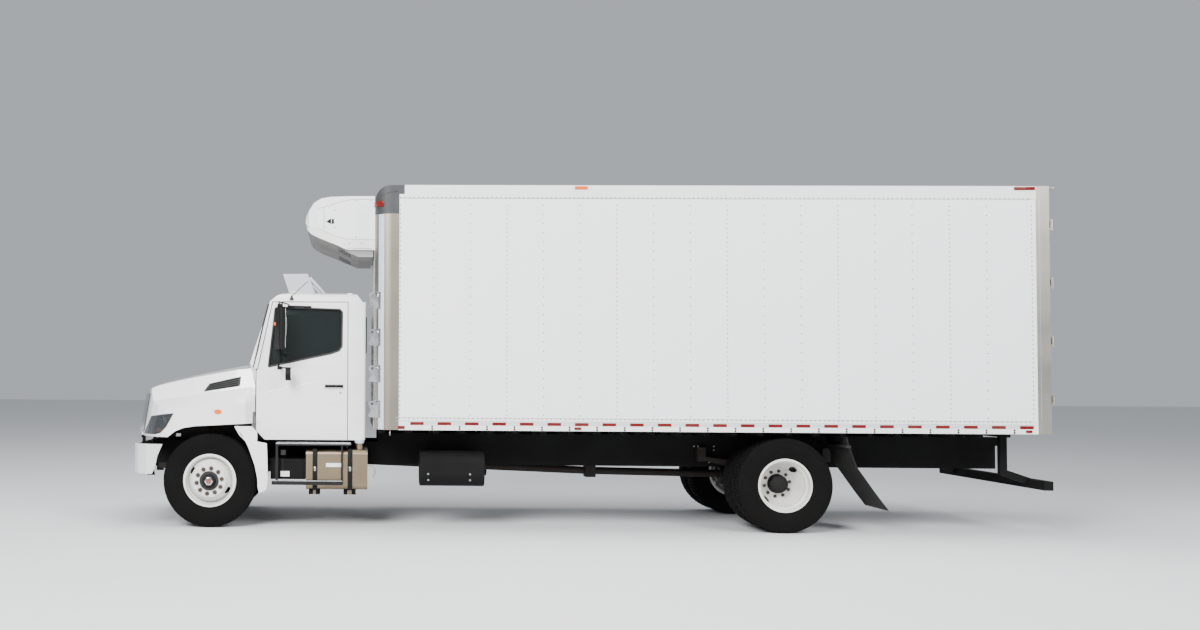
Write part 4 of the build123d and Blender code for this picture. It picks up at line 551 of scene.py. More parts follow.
# Black band across the tank
STRAP_BLACK = Finish("Strap, rubber-lined black steel", "#060606", 0.6, ior=1.3, dirt="#1e1b18", dirt_share=0.15,
                     mottle_mm=30)
# Dark grey lines in the black vent
SLAT_GREY = Finish("Louvre slats, moulded grey", "#0e0f10", 0.65, ior=1.3, dirt="#242220", dirt_share=0.15,
                   mottle_mm=40)
# Even pale grey
STUDIO_FLOOR = Finish("Studio floor, painted pale grey", "#d9dadb", 0.7, dirt_share=0.0, mottle=0.02)

NODE_FINISH: dict[Finish, tuple[str, ...]] = {
    CHASSIS_BLACK: ("frame_rails", "frame_crossmembers", "body_subframe", "front_brackets", "cab_floor",
                    "battery_box", "unit_fuel_tank", "air_tanks", "underride_guard"),
    RUSTY_IRON: ("engine_block", "driveshaft", "front_axle", "knuckle_left", "knuckle_right", "tie_rod",
                 "rear_axle", "leaf_springs"),
    TYRE: ("tyre_front_left", "tyre_front_right", "tyres_rear_left", "tyres_rear_right"),
    WHEEL_FRONT: FRONT_WHEELS,
    WHEEL_REAR: REAR_WHEELS,
    BUMPER_PAINT: ("front_bumper",),
    CAB_PAINT: ("hood_shell", *CAB_DOORS, "cab_cowl", "cab_pillars", "cab_back_panel", "cab_roof"),
    CLEAR: ("headlights",),
    GRILLE: ("grille",),
    TINTED: ("door_glass_left", "door_glass_right", "cab_glass"),
    BLACK_PLASTIC: ("mirror_left", "mirror_right"),
    LINING: ("dashboard",),
    SEAT_CLOTH: ("seats",),
    GREY_SHEET: ("roof_deflector",),
    TANK_ALLOY: ("fuel_tank",),
    STEP_ALLOY: ("cab_steps",),
    STAINLESS: ("exhaust_box", "rear_frame"),
    FLAP_RUBBER: ("mudguards",),
    BODY_SKIN: ("cargo_side_walls", "cargo_front_wall"),
    ROOF_SKIN: ("cargo_roof",),
    RAIL_PAINT: ("cargo_frame",),
    FLOOR_ALLOY: ("cargo_floor",),
    DARK_CAST: ("corner_castings",),
    DOOR_SKIN: REAR_DOORS,
    LAMPS: ("signal_lamps",),
    BRIGHT_CAST: ("climbing_steps",),
    UNIT_SHELL: ("unit_housing",),
    UNIT_SKIRT_SHADED_BELOW: ("unit_base",),
}


# Modelling by operators


class Shop:
    """Makes and finishes mesh pieces with the ordinary editing operators; sizes are in millimetres."""

    bevel_deg: float = 30.0
    smooth_deg: float = 35.0
    weld_m: float = 0.00005
    thin_m: float = 0.00002
    far_left: float = 1600.0
    puff_voxel_m: float = 0.016
    puff_pressure: float = 4.0
    puff_frames: int = 20

    @staticmethod
    def clear() -> None:
        """Leaves edit mode and deselects everything."""
        if bpy.context.object and bpy.context.object.mode != "OBJECT":
            bpy.ops.object.mode_set(mode="OBJECT")
        bpy.ops.object.select_all(action="DESELECT")

    @classmethod
    def pick(cls, obj: Piece) -> Piece:
        """Makes one object the only one selected, and the active one.

        Args:
            obj: The object.

        Returns:
            The same object.
        """
        cls.clear()
        obj.select_set(True)
        bpy.context.view_layer.objects.active = obj
        return obj

    @classmethod
    def apply(cls, obj: Piece, kind: str, **settings) -> None:
        """Adds a modifier and applies it.

        Args:
            obj: The piece.
            kind: Modifier type.
            **settings: Its settings.
        """
        cls.pick(obj)
        modifier = obj.modifiers.new("step", kind)
        for key, value in settings.items():
            setattr(modifier, key, value)
        bpy.ops.object.modifier_apply(modifier=modifier.name)

    @classmethod
    def round_edges(cls, obj: Piece, width: float, segments: int = 2) -> None:
        """Bevels the sharp edges and smooths the shading.

        Args:
            obj: The piece.
            width: Bevel width; 0 for none.
            segments: Steps across the bevel.
        """
        if width > 0:
            cls.apply(obj, "BEVEL", width=width / 1000, segments=segments, limit_method="ANGLE",
                      angle_limit=math.radians(cls.bevel_deg))
        cls.pick(obj)
        bpy.ops.object.shade_smooth_by_angle(angle=math.radians(cls.smooth_deg))

    @classmethod
    def outline(cls, name: str, corners: Sequence[Vector], fill: str = "NGON") -> Piece:
        """Makes a flat outline and leaves all of it selected in edit mode.

        Args:
            name: Name of the piece.
            corners: Its corners in the frame.
            fill: NGON for a face, NOTHING for the edges alone.

        Returns:
            The outline.
        """
        cls.clear()
        bpy.ops.mesh.primitive_circle_add(vertices=len(corners), radius=1, fill_type=fill)
        obj = bpy.context.object
        obj.name = name
        for vertex, corner in zip(obj.data.vertices, corners):
            vertex.co = corner
        bpy.ops.object.mode_set(mode="EDIT")
        bpy.ops.mesh.select_all(action="SELECT")
        return obj

    @classmethod
    def close(cls, obj: Piece, bevel: float = 0.0, segments: int = 2) -> Piece:
        """Merges doubles, drops loose bits, turns the faces outward and leaves edit mode.

        Args:
            obj: The piece, in edit mode.
            bevel: Edge radius.
            segments: Steps across the edge.

        Returns:
            The same piece, smooth shaded.
        """
        bpy.ops.mesh.select_all(action="SELECT")
        bpy.ops.mesh.remove_doubles(threshold=cls.weld_m)
        bpy.ops.mesh.dissolve_degenerate(threshold=cls.thin_m)
        bpy.ops.mesh.delete_loose(use_faces=False)
        bpy.ops.mesh.select_all(action="SELECT")
        bpy.ops.mesh.normals_make_consistent(inside=False)
        bpy.ops.object.mode_set(mode="OBJECT")
        cls.round_edges(obj, bevel, segments)
        return obj

    @classmethod
    def block(cls, name: str, xs: Flat, ss: Flat, zs: Flat, bevel: float = 2.0, segments: int = 2) -> Piece:
        """Makes a block with rounded edges.

        Args:
            name: Name of the piece.
            xs: Limits to the left of the middle.
            ss: Limits behind the front axle.
            zs: Limits in height.
            bevel: Edge radius.
            segments: Steps across the edge.

        Returns:
            The piece.
        """
        cls.clear()
        low, high = at(xs[0], ss[0], zs[0]), at(xs[1], ss[1], zs[1])
        bpy.ops.mesh.primitive_cube_add(size=1, location=(low + high) / 2)
        obj = bpy.context.object
        obj.name = name
        obj.scale = high - low
        bpy.ops.object.transform_apply(location=True, rotation=True, scale=True)
        cls.round_edges(obj, bevel, segments)
        return obj

    @classmethod
    def prism(cls, name: str, outline: Sequence[Flat], along: Along, low: float, high: float, bevel: float = 0.0,
              segments: int = 2) -> Piece:
        """Makes a prism from a flat outline.

        Args:
            name: Name of the piece.
            outline: Corners, as the two coordinates other than the one it runs along.
            along: Axis that it runs along.
            low: Lower end on that axis.
            high: Upper end on that axis.
            bevel: Edge radius.
            segments: Steps across the edge.

        Returns:
            The piece.
        """
        others = [i for i in range(3) if i != along.value]
        corners = []
        for corner in outline:
            place = [low, low, low]
            place[others[0]], place[others[1]] = corner
            corners.append(at(*place))
        obj = cls.outline(name, corners)
        move = Vector((0.0, 0.0, 0.0))
        move[along.value] = (high - low) / 1000
        bpy.ops.mesh.extrude_region_move(TRANSFORM_OT_translate={"value": move})
        return cls.close(obj, bevel, segments)

    @classmethod
    def turned(cls, name: str, profile: Sequence[Flat], centre: Point, along: Along, steps: int = 48,
               flip: float = 1.0) -> Piece:
        """Spins a closed profile into a ring or disc.

        Args:
            name: Name of the piece.
            profile: Corners as distance along the axis and radius, closed.
            centre: Zero point on the axis.
            along: The axis.
            steps: Steps round.
            flip: -1 mirrors the profile along the axis.

        Returns:
            The piece.
        """
        middle = at(*centre)
        across = 0 if along is Along.UP else 2
        corners = []
        for distance, radius in profile:
            place = middle.copy()
            place[along.value] += distance * flip / 1000
            place[across] += radius / 1000
            corners.append(place)
        obj = cls.outline(name, corners, "NOTHING")
        axis = [0.0, 0.0, 0.0]
        axis[along.value] = 1.0
        bpy.ops.mesh.spin(steps=steps, angle=2 * math.pi, center=middle, axis=axis)
        return cls.close(obj)

    @classmethod
    def pipe(cls, name: str, points: Sequence[Point], radius: float, smooth: bool = False) -> Piece:
        """Makes a round bar along points.

        Args:
            name: Name of the piece.
            points: Control points.
            radius: Radius of the bar.
            smooth: True for a smooth line, False for straight runs.

        Returns:
            The piece as a mesh.
        """
        cls.clear()
        curve = bpy.data.curves.new(name, "CURVE")
        curve.dimensions = "3D"
        curve.bevel_depth = radius / 1000
        curve.bevel_resolution = 2
        curve.use_fill_caps = True
        spline = curve.splines.new("NURBS" if smooth else "POLY")
        spline.points.add(len(points) - 1)
        for target, source in zip(spline.points, points):
            target.co = (*at(*source), 1.0)
        if smooth:
            spline.order_u = 3
            spline.use_endpoint_u = True
        obj = bpy.data.objects.new(name, curve)
        bpy.context.collection.objects.link(obj)
        cls.pick(obj)
        bpy.ops.object.convert(target="MESH")
        cls.round_edges(bpy.context.object, 0)
        return bpy.context.object

    @classmethod
    def head(cls, name: str, sides: int, radius: float, height: float, top: float = 0.6, stud: float = 0.0) -> Piece:
        """Makes a rivet or bolt head that points up at the frame's zero.

        Args:
            name: Name of the piece.
            sides: Sides of its outline; 6 for a hexagon.
            radius: Radius at its foot.
            height: Height over its seat.
            top: Size of its top against its foot.
            stud: Length of the stud that stands out of a nut; 0 for none.

        Returns:
            The piece.
        """
        cls.clear()
        bpy.ops.mesh.primitive_circle_add(vertices=sides, radius=radius / 1000, fill_type="NGON")
        obj = bpy.context.object
        obj.name = name
        bpy.ops.object.mode_set(mode="EDIT")
        bpy.ops.mesh.select_all(action="SELECT")
        rises = [(height * 0.55, 1.0), (height * 0.45, top)]
        if stud:
            rises += [(0.01, 0.6), (stud, 1.0)]
        for rise, size in rises:
            bpy.ops.mesh.extrude_region_move(TRANSFORM_OT_translate={"value": (0, 0, rise / 1000)})
            if size != 1.0:
                bpy.ops.transform.resize(value=(size, size, size))
        return cls.close(obj)

    @classmethod
    def copies(cls, obj: Piece, places: Iterable[Matrix]) -> list[Piece]:
        """Copies a piece, each copy with its own mesh.

        Args:
            obj: The piece.
            places: A transform for each copy.

        Returns:
            The copies.
        """
        made = []
        for place in places:
            twin = obj.copy()
            twin.data = obj.data.copy()
            twin.data.transform(place)
            if place.determinant() < 0:
                twin.data.flip_normals()
            bpy.context.collection.objects.link(twin)
            made.append(twin)
        return made

    @classmethod
    def scatter(cls, obj: Piece, seats: Sequence[Seat]) -> Piece:
        """Puts copies of an upright piece on seats and joins them.

        Args:
            obj: The piece at the frame's zero, pointing up.
            seats: Place and direction of each copy.

        Returns:
            The joined copies.
        """
        places = [Matrix.Translation(at(*place)) @ Vector(way).to_track_quat("Z", "Y").to_matrix().to_4x4()
                  for place, way in seats]
        name = obj.name
        made = cls.copies(obj, places)
        bpy.data.objects.remove(obj)
        return cls.join(name, made)

    @classmethod
    def heads(cls, name: str, seats: Sequence[Seat], sides: int, radius: float, height: float, top: float = 0.6,
              stud: float = 0.0) -> Piece:
        """Puts rivet or bolt heads on seats; the numbers are those of head()."""
        return cls.scatter(cls.head(name, sides, radius, height, top, stud), seats)

    @classmethod
    def row(cls, obj: Piece, count: int, step: Point) -> Piece:
        """Repeats a piece in a row of so many, with a step between them."""
        cls.apply(obj, "ARRAY", count=count, use_relative_offset=False, use_constant_offset=True,
                  constant_offset_displace=[v / 1000 for v in step])
        return obj

    @classmethod
    def join(cls, name: str, pieces: Sequence[Piece]) -> Piece:
        """Joins pieces into one object.

        Args:
            name: Name of the result.
            pieces: The pieces.

        Returns:
            The joined object.
        """
        cls.clear()
        for piece in pieces:
            piece.select_set(True)
        bpy.context.view_layer.objects.active = pieces[0]
        if len(pieces) > 1:
            bpy.ops.object.join()
        joined = bpy.context.object
        joined.name = name
        return joined

    @classmethod
    def blocks(cls, name: str, boxes: Sequence[Sequence[float]], bevel: float = 2.0,
               segments: int = 2) -> Piece:
        """Makes several blocks, each from low and high x, station and height, and joins them."""
        return cls.join(name, [cls.block(name, b[:2], b[2:4], b[4:], bevel, segments) for b in boxes])

    @classmethod
    def pipes(cls, name: str, lines: Sequence[Sequence[Point]], radius: float, smooth: bool = False
              ) -> Piece:
        """Makes several round bars, each along its own points, and joins them."""
        return cls.join(name, [cls.pipe(name, line, radius, smooth) for line in lines])

    @classmethod
    def skin(cls, name: str, outline: Sequence[Flat], node: str, depth: float = 2.0, lift: float = 1.0,
             cuts: int = 0) -> Piece:
        """Lays a thin sheet on the left side of a node.

        Args:
            name: Name of the piece.
            outline: Corners as station and height.
            node: Node that it lies on.
            depth: Thickness of the sheet.
            lift: How far its middle lies off the node.
            cuts: Cuts that let it follow the node's form.

        Returns:
            The sheet.
        """
        obj = cls.outline(name, [at(cls.far_left, s, z) for s, z in outline])
        if cuts:
            bpy.ops.mesh.subdivide(number_cuts=cuts)
        bpy.ops.object.mode_set(mode="OBJECT")
        cls.apply(obj, "SHRINKWRAP", target=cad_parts[node], wrap_method="PROJECT", use_project_x=True,
                  use_project_y=False, use_project_z=False, use_negative_direction=True,
                  use_positive_direction=False, offset=lift / 1000)
        cls.apply(obj, "SOLIDIFY", thickness=depth / 1000, offset=0.0)
        bpy.ops.object.mode_set(mode="EDIT")
        return cls.close(obj)

    @classmethod
    def puff(cls, pad: Piece, cap: float) -> None:
        """Swells a pad by a cloth simulation under pressure.

        Args:
            pad: The pad, a little under its final size.
            cap: Furthest that a point may move.
        """
        cls.apply(pad, "REMESH", mode="VOXEL", voxel_size=cls.puff_voxel_m)
        cls.apply(pad, "SMOOTH", factor=0.5, iterations=4)
        rest = [v.co.copy() for v in pad.data.vertices]
        cls.pick(pad)
        cloth = pad.modifiers.new("cloth", "CLOTH")
        cloth.settings.use_pressure = True
        cloth.settings.uniform_pressure_force = cls.puff_pressure
        cloth.settings.effector_weights.gravity = 0.0
        for step in range(1, cls.puff_frames + 1):
            bpy.context.scene.frame_set(step)
        bpy.ops.object.modifier_apply(modifier=cloth.name)
        for vertex, start in zip(pad.data.vertices, rest):
            move = vertex.co - start
            if move.length > cap / 1000:
                vertex.co = start + move * (cap / 1000 / move.length)
        bpy.context.scene.frame_set(1)
        cls.apply(pad, "SUBSURF", levels=1, render_levels=1)
        cls.pick(pad)
        bpy.ops.object.shade_smooth()

    @classmethod
    def twin(cls, obj: Piece, name: str) -> Piece:
        """Copies a piece to the truck's other side.

        Args:
            obj: The piece.
            name: Name of the copy.

        Returns:
            The copy.
        """
        made = cls.copies(obj, [Matrix.Scale(-1, 4, (1, 0, 0))])[0]
        made.name = name
        return made


class Catalogue:
    """Places the pieces and reports them."""

    count: int = 0

    @classmethod
    def place(cls, obj: Piece, finish: Finish, body: str = "chassis",
              replaces: Sequence[str] = ()) -> Piece:
        """Gives a piece its finish and its body.

        Args:
            obj: The piece.
            finish: Its material.
            body: The moving body that it rides on.
            replaces: Nodes that it stands for.

        Returns:
            The same piece.
        """
        obj.data.materials.clear()
        obj.data.materials.append(Paint.of(finish))
        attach(obj, body)
        if replaces:
            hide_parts(*replaces)
        cls.count += 1
        LOG.info("%3d %s on %s, %d faces", cls.count, obj.name, body, len(obj.data.polygons))
        return obj

    @classmethod
    def both(cls, obj: Piece, finish: Finish, body: str = "chassis", right: str = "",
             replaces: Sequence[str] = ()) -> None:
        """Places a piece of the left side and its twin on the right.

        Args:
            obj: The left piece.
            finish: Its material.
            body: The left piece's body.
            right: The twin's body, where it's another one.
            replaces: Node that each stands for, left then right.
        """
        name = obj.name
        if not right and not replaces:
            cls.place(Shop.join(name, [obj, Shop.twin(obj, name + "_twin")]), finish, body)
            return
        obj.name = name + "_left"
        twin = Shop.twin(obj, name + "_right")
        cls.place(obj, finish, body, replaces[:1])
        cls.place(twin, finish, right or body, replaces[1:])


class Carried:
    """The nodes that keep the model's own meshes."""

    def build(self) -> None:
        """Gives every carried node its finish."""
        for finish, names in NODE_FINISH.items():
            for name in names:
                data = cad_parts[name].data
                data.materials.clear()
                data.materials.append(Paint.of(finish))


# Sub-assemblies


@dataclass
class Tyres:
    """Six tyres with ribs, grooves and tread blocks."""

    outer: float = 526.0
    tread_half: float = 100.0
    wall: tuple[Flat, ...] = ((113, 298.8), (121, 312), (126, 316), (126, 324), (129, 332), (134, 352), (138, 382),
                              (139.5, 404), (139, 428), (136, 452), (132.5, 470), (134, 473), (133, 479),
                              (129.5, 482), (126, 496), (120, 509), (110, 521), (100, 525))
    crown_drop: float = 1.0
    groove_depth: float = 14.0
    groove_half: float = 5.5
    groove_floor_half: float = 4.0
    front_grooves: tuple[float, ...] = (-62, -21, 21, 62)
    rear_grooves: tuple[float, ...] = (-50, 0, 50)
    cut_border: float = 3.0
    cut_depth: float = 9.0
    cut_within: float = 6.0
    front_x: float = 1015.0
    rear_x: Flat = (1100.0, 766.0)
    steps: int = 160

    def profile(self, grooves: Sequence[float]) -> list[Flat]:
        """Gives the closed section of a tyre.

        Args:
            grooves: Middles of the grooves round the tread.

        Returns:
            Corners as distance along the axle and radius.
        """
        tread = []
        for middle in sorted(grooves, reverse=True):
            crown = self.outer - self.crown_drop * (middle / self.tread_half) ** 2
            low = self.outer - self.groove_depth
            tread += [(middle + self.groove_half, crown), (middle + self.groove_floor_half, low),
                      (middle - self.groove_floor_half, low), (middle - self.groove_half, crown)]
        return [*self.wall, *tread, *((-d, r) for d, r in reversed(self.wall))]

    def one(self, name: str, x: float, station: float, grooves: Sequence[float], every: int) -> Piece:
        """Makes one tyre and cuts its cross grooves.

        Args:
            name: Name of the piece.
            x: Middle of the tyre.
            station: Station of its axle.
            grooves: Middles of the grooves round the tread.
            every: A cross groove comes at every so many steps.

        Returns:
            The tyre.
        """
        tyre = Shop.turned(name, self.profile(grooves), (x, station, AXLE_HEIGHT), Along.ACROSS, self.steps)
        centre = at(x, station, AXLE_HEIGHT)
        bpy.ops.object.mode_set(mode="EDIT")
        bpy.ops.mesh.select_mode(type="FACE")
        bpy.ops.mesh.select_all(action="DESELECT")
        bpy.ops.object.mode_set(mode="OBJECT")
        for face in tyre.data.polygons:
            out = face.center - centre
            radius = math.hypot(out.y, out.z) * 1000
            turn = math.atan2(out.z, out.y) / (2 * math.pi) * self.steps
            rib = sum(out.x * 1000 > g for g in grooves)
            if radius > self.outer - self.cut_within and (int(turn + self.steps) + rib * (every // 2)) % every == 0:
                face.select = True
        bpy.ops.object.mode_set(mode="EDIT")
        bpy.ops.mesh.inset(thickness=self.cut_border / 1000, depth=-self.cut_depth / 1000, use_individual=False,
                           use_boundary=True)
        bpy.ops.object.mode_set(mode="OBJECT")
        Shop.round_edges(tyre, 0)
        return tyre

    def build(self) -> None:
        """Makes the front pair with ribs and the rear pairs with blocks."""
        front = self.one("tyre_tread_front", self.front_x, 0, self.front_grooves, 8)
        Catalogue.both(front, TYRE, *FRONT_WHEELS, ("tyre_front_left", "tyre_front_right"))
        pair = [self.one("tyre_tread_rear", x, REAR_AXLE, self.rear_grooves, 4) for x in self.rear_x]
        rear = Shop.join("tyre_tread_rear", pair)
        Catalogue.both(rear, TYRE, *REAR_WHEELS, ("tyres_rear_left", "tyres_rear_right"))


@dataclass
class WheelFittings:
    """Nuts, studs, hub caps and valves of the wheels."""

    nuts: int = 10
    nut_circle: float = 142.9
    first_nut_deg: float = 9.0
    washer: tuple[Flat, ...] = ((-0.5, 10), (-0.5, 26), (3, 26), (6, 21), (6, 10))
    valve: tuple[Point, ...] = ((0, 150, 175), (26, 160, 186), (62, 165, 191))
    front_face: float = 1182.0
    front_cap: tuple[Flat, ...] = ((13, 72), (13, 79), (20, 79), (22, 76), (37, 73), (49, 61), (51, 57), (51, 30),
                                   (56, 26), (56, 3), (48, 3), (48, 50), (36, 68), (30, 72))
    cap_ring: tuple[Flat, ...] = ((50, 32), (50, 42), (55, 42), (57, 37), (57, 32))
    rear_face: float = 933.0
    rear_cap: tuple[Flat, ...] = ((14, 60), (14, 108), (18, 108), (22, 101), (73, 86), (73, 99), (89.5, 99),
                                  (91, 87), (101, 72), (101.5, 4), (96, 4), (96, 60))

    def ring(self, x: float, station: float, radius: float, count: int, turn: float = 0.0) -> list[Seat]:
        """Gives the seats of a circle of fasteners; turn is the angle of the first, in degrees."""
        angles = [math.radians(turn + 360 * i / count) for i in range(count)]
        return facing_left(x, [(station + radius * math.cos(a), AXLE_HEIGHT + radius * math.sin(a)) for a in angles])

    def nuts_of(self, name: str, face: float, station: float) -> Piece:
        """Makes the nuts of a wheel, each with its washer.

        Args:
            name: Name of the piece.
            face: Face that they sit on.
            station: Station of the axle.

        Returns:
            The joined nuts and washers.
        """
        seats = self.ring(face, station, self.nut_circle, self.nuts, self.first_nut_deg)
        nuts = Shop.heads(name, seats, 6, 22, 25, 0.8, 15)
        washer = Shop.turned("washer", self.washer, (0, 0, 0), Along.UP, 12)
        washer.data.transform(Matrix.Translation(-at(0, 0, 0)))
        return Shop.join(name, [nuts, Shop.scatter(washer, seats)])

    def stem(self, name: str, face: float, station: float) -> Piece:
        """Makes a bent valve stem that stands out of a face."""
        line = [(face + x, station + s, AXLE_HEIGHT + z) for x, s, z in self.valve]
        return Shop.pipe(name, line, 4.5, True)

    def front(self) -> None:
        """Fits the front wheels."""
        face = self.front_face
        Catalogue.both(self.nuts_of("wheel_nuts_front", face, 0), WHEEL_NUT, *FRONT_WHEELS)
        bolts = Shop.heads("hub_bolts_front", self.ring(face + 50, 0, 44, 6), 6, 7, 6)
        hub = Shop.turned("hub_cap_front", self.front_cap, (face, 0, AXLE_HEIGHT), Along.ACROSS, 40)
        Catalogue.both(hub, CAP_FRONT, *FRONT_WHEELS)
        Catalogue.both(bolts, ZINC, *FRONT_WHEELS)
        ring = Shop.turned("hub_rings", self.cap_ring, (face, 0, AXLE_HEIGHT), Along.ACROSS, 32)
        Catalogue.both(ring, CHROME, *FRONT_WHEELS)
        Catalogue.both(self.stem("valve_stem_front", face - 30, 0), ZINC, *FRONT_WHEELS)

    def rear(self) -> None:
        """Fits the outer wheels of the rear pairs."""
        face = self.rear_face
        Catalogue.both(self.nuts_of("wheel_nuts_rear", face, REAR_AXLE), WHEEL_NUT, *REAR_WHEELS)
        bolts = Shop.heads("hub_bolts_rear", self.ring(face + 89, REAR_AXLE, 92, 8, 11), 6, 11, 9, 0.6, 6)
        hub = Shop.turned("hub_cap_rear", self.rear_cap, (face, REAR_AXLE, AXLE_HEIGHT), Along.ACROSS, 40)
        Catalogue.both(hub, HUB_BLACK, *REAR_WHEELS)
        Catalogue.both(bolts, HUB_BLACK, *REAR_WHEELS)
        Catalogue.both(self.stem("valve_stem_rear", face + 40, REAR_AXLE), ZINC, *REAR_WHEELS)

    def build(self) -> None:
        """Fits every wheel."""
        self.front()
        self.rear()


@dataclass
class BodySides:
    """Rivets, joints, tape, bolts and lamps along the box."""

    first_column: float = 2505.0
    pitch: float = 405.5
    columns: int = 16
    joints: tuple[int, ...] = (2, 5, 8, 11, 14)
    edge_columns: Flat = (2130.0, BODY_REAR - 192)
    rivet_gap: float = 101.6
    joint_gap: float = 50.8
    rivet_rows: Flat = (1290.0, 3670.0)
    rail_rows: Flat = (1249.0, 3712.0)
    joint_half: float = 26.0
    tape_z: Flat = (1172.0, 1208.0)
    tape_first: float = 2245.0
    tape_pitch: float = 303.6
    tape_red: float = 152.0
    tape_count: int = 23
    bolt_spots: tuple[Flat, ...] = ((2490, 1157), (2490, 1131))

    def rivets(self) -> None:
        """Makes the rivet columns and the rows along the rails."""
        low, high = self.rivet_rows
        columns = [(self.first_column + i * self.pitch, self.joint_gap if i in self.joints else self.rivet_gap)
                   for i in range(self.columns)]
        columns += [(station, self.joint_gap) for station in self.edge_columns]
        rows = [((SKIN_HALF, s, low), int((high - low) / gap) + 1, (0, 0, gap)) for s, gap in columns]
        start = self.edge_columns[0]
        count = int((BODY_REAR - 175 - start) / self.joint_gap)
        rows += [((BODY_HALF, start, z), count, (0, self.joint_gap, 0)) for z in self.rail_rows]
        made = [Shop.row(Shop.heads("rivet", [(place, LEFT)], 6, 8.0, 3.4, 0.55), number, step)
                for place, number, step in rows]
        Catalogue.both(Shop.join("side_rivets", made), RIVET_MID_GREY)

    def joint_strips(self) -> None:
        """Makes the overlapped sheet edges at the joints."""
        stations = [self.first_column + i * self.pitch for i in self.joints]
        strips = [(SKIN_HALF - 0.6, SKIN_HALF + 1.4, s - self.joint_half, s + self.joint_half, FLOOR_TOP + 2,
                   RAIL_LOW - 2) for s in stations]
        Catalogue.both(Shop.blocks("side_joints", strips, 0.5, 1), BODY_SKIN)

    def rails(self) -> None:
        """Makes the lips of the bottom and top rails."""
        face = (BODY_HALF - 1.5, BODY_HALF + 1.5)
        lips = Shop.blocks("rail_lips", ((*face, 2085, 9090, 1214, 1219), (*face, 2085, 9090, 1252, 1257.5),
                                         (*face, 2110, 9090, 3701, 3707)), 0.6, 1)
        Catalogue.both(lips, RAIL_ALLOY)

    def tape(self) -> None:
        """Makes the red and silver tape along the bottom rail."""
        xs = (BODY_HALF, BODY_HALF + 0.7)
        red_end = self.tape_first + self.tape_red
        for name, ends, count, finish in (("tape_red", (self.tape_first, red_end), self.tape_count, TAPE_RED),
                                          ("tape_white", (red_end, self.tape_first + self.tape_pitch),
                                           self.tape_count - 1, TAPE_WHITE)):
            strip = Shop.block(name, xs, ends, self.tape_z, 0.3, 1)
            Catalogue.both(Shop.row(strip, count, (0, self.tape_pitch, 0)), finish)

    def bolts(self) -> None:
        """Makes the pairs of bolt heads along the bottom rail."""
        pair = Shop.heads("rail_bolts", facing_left(BODY_HALF - 1, self.bolt_spots), 8, 12, 5, 0.75)
        Catalogue.both(Shop.row(pair, 22, (0, self.tape_pitch, 0)), WHEEL_NUT)

    def lamps(self) -> None:
        """Makes the side marker lamps, the blank plate beside the low one and the hook under the rail."""
        face = (BODY_HALF - 2, BODY_HALF + 12)
        Catalogue.both(Shop.block("side_lamps_amber", face, (4067, 4210), (3804, 3840), 5, 3), AMBER_LENS_PAINTED_GLOW)
        reds = Shop.blocks("side_lamps_red", ((*face, 8889, 9115, 3806, 3842), (*face, 2111, 2186, 1129, 1163),
                                              (*face, 4060, 4136, 1130, 1160), (*face, 8988, 9056, 1131, 1161)), 5, 3)
        Catalogue.both(reds, RED_LENS)
        plate = Shop.block("side_plate", (BODY_HALF - 1, BODY_HALF + 2), (2276, 2396), (1128, 1162), 0.5, 1)
        Catalogue.both(plate, LABEL)
        hook = Shop.pipe("rail_hook", [(1240, 2023, 1120), (1262, 2023, 1080), (1240, 2023, 1046), (1216, 2023, 1062)],
                         7, True)
        Catalogue.both(hook, ZINC)

    def build(self) -> None:
        """Dresses both sides."""
        self.rivets()
        self.joint_strips()
        self.rails()
        self.tape()
        self.bolts()
        self.lamps()


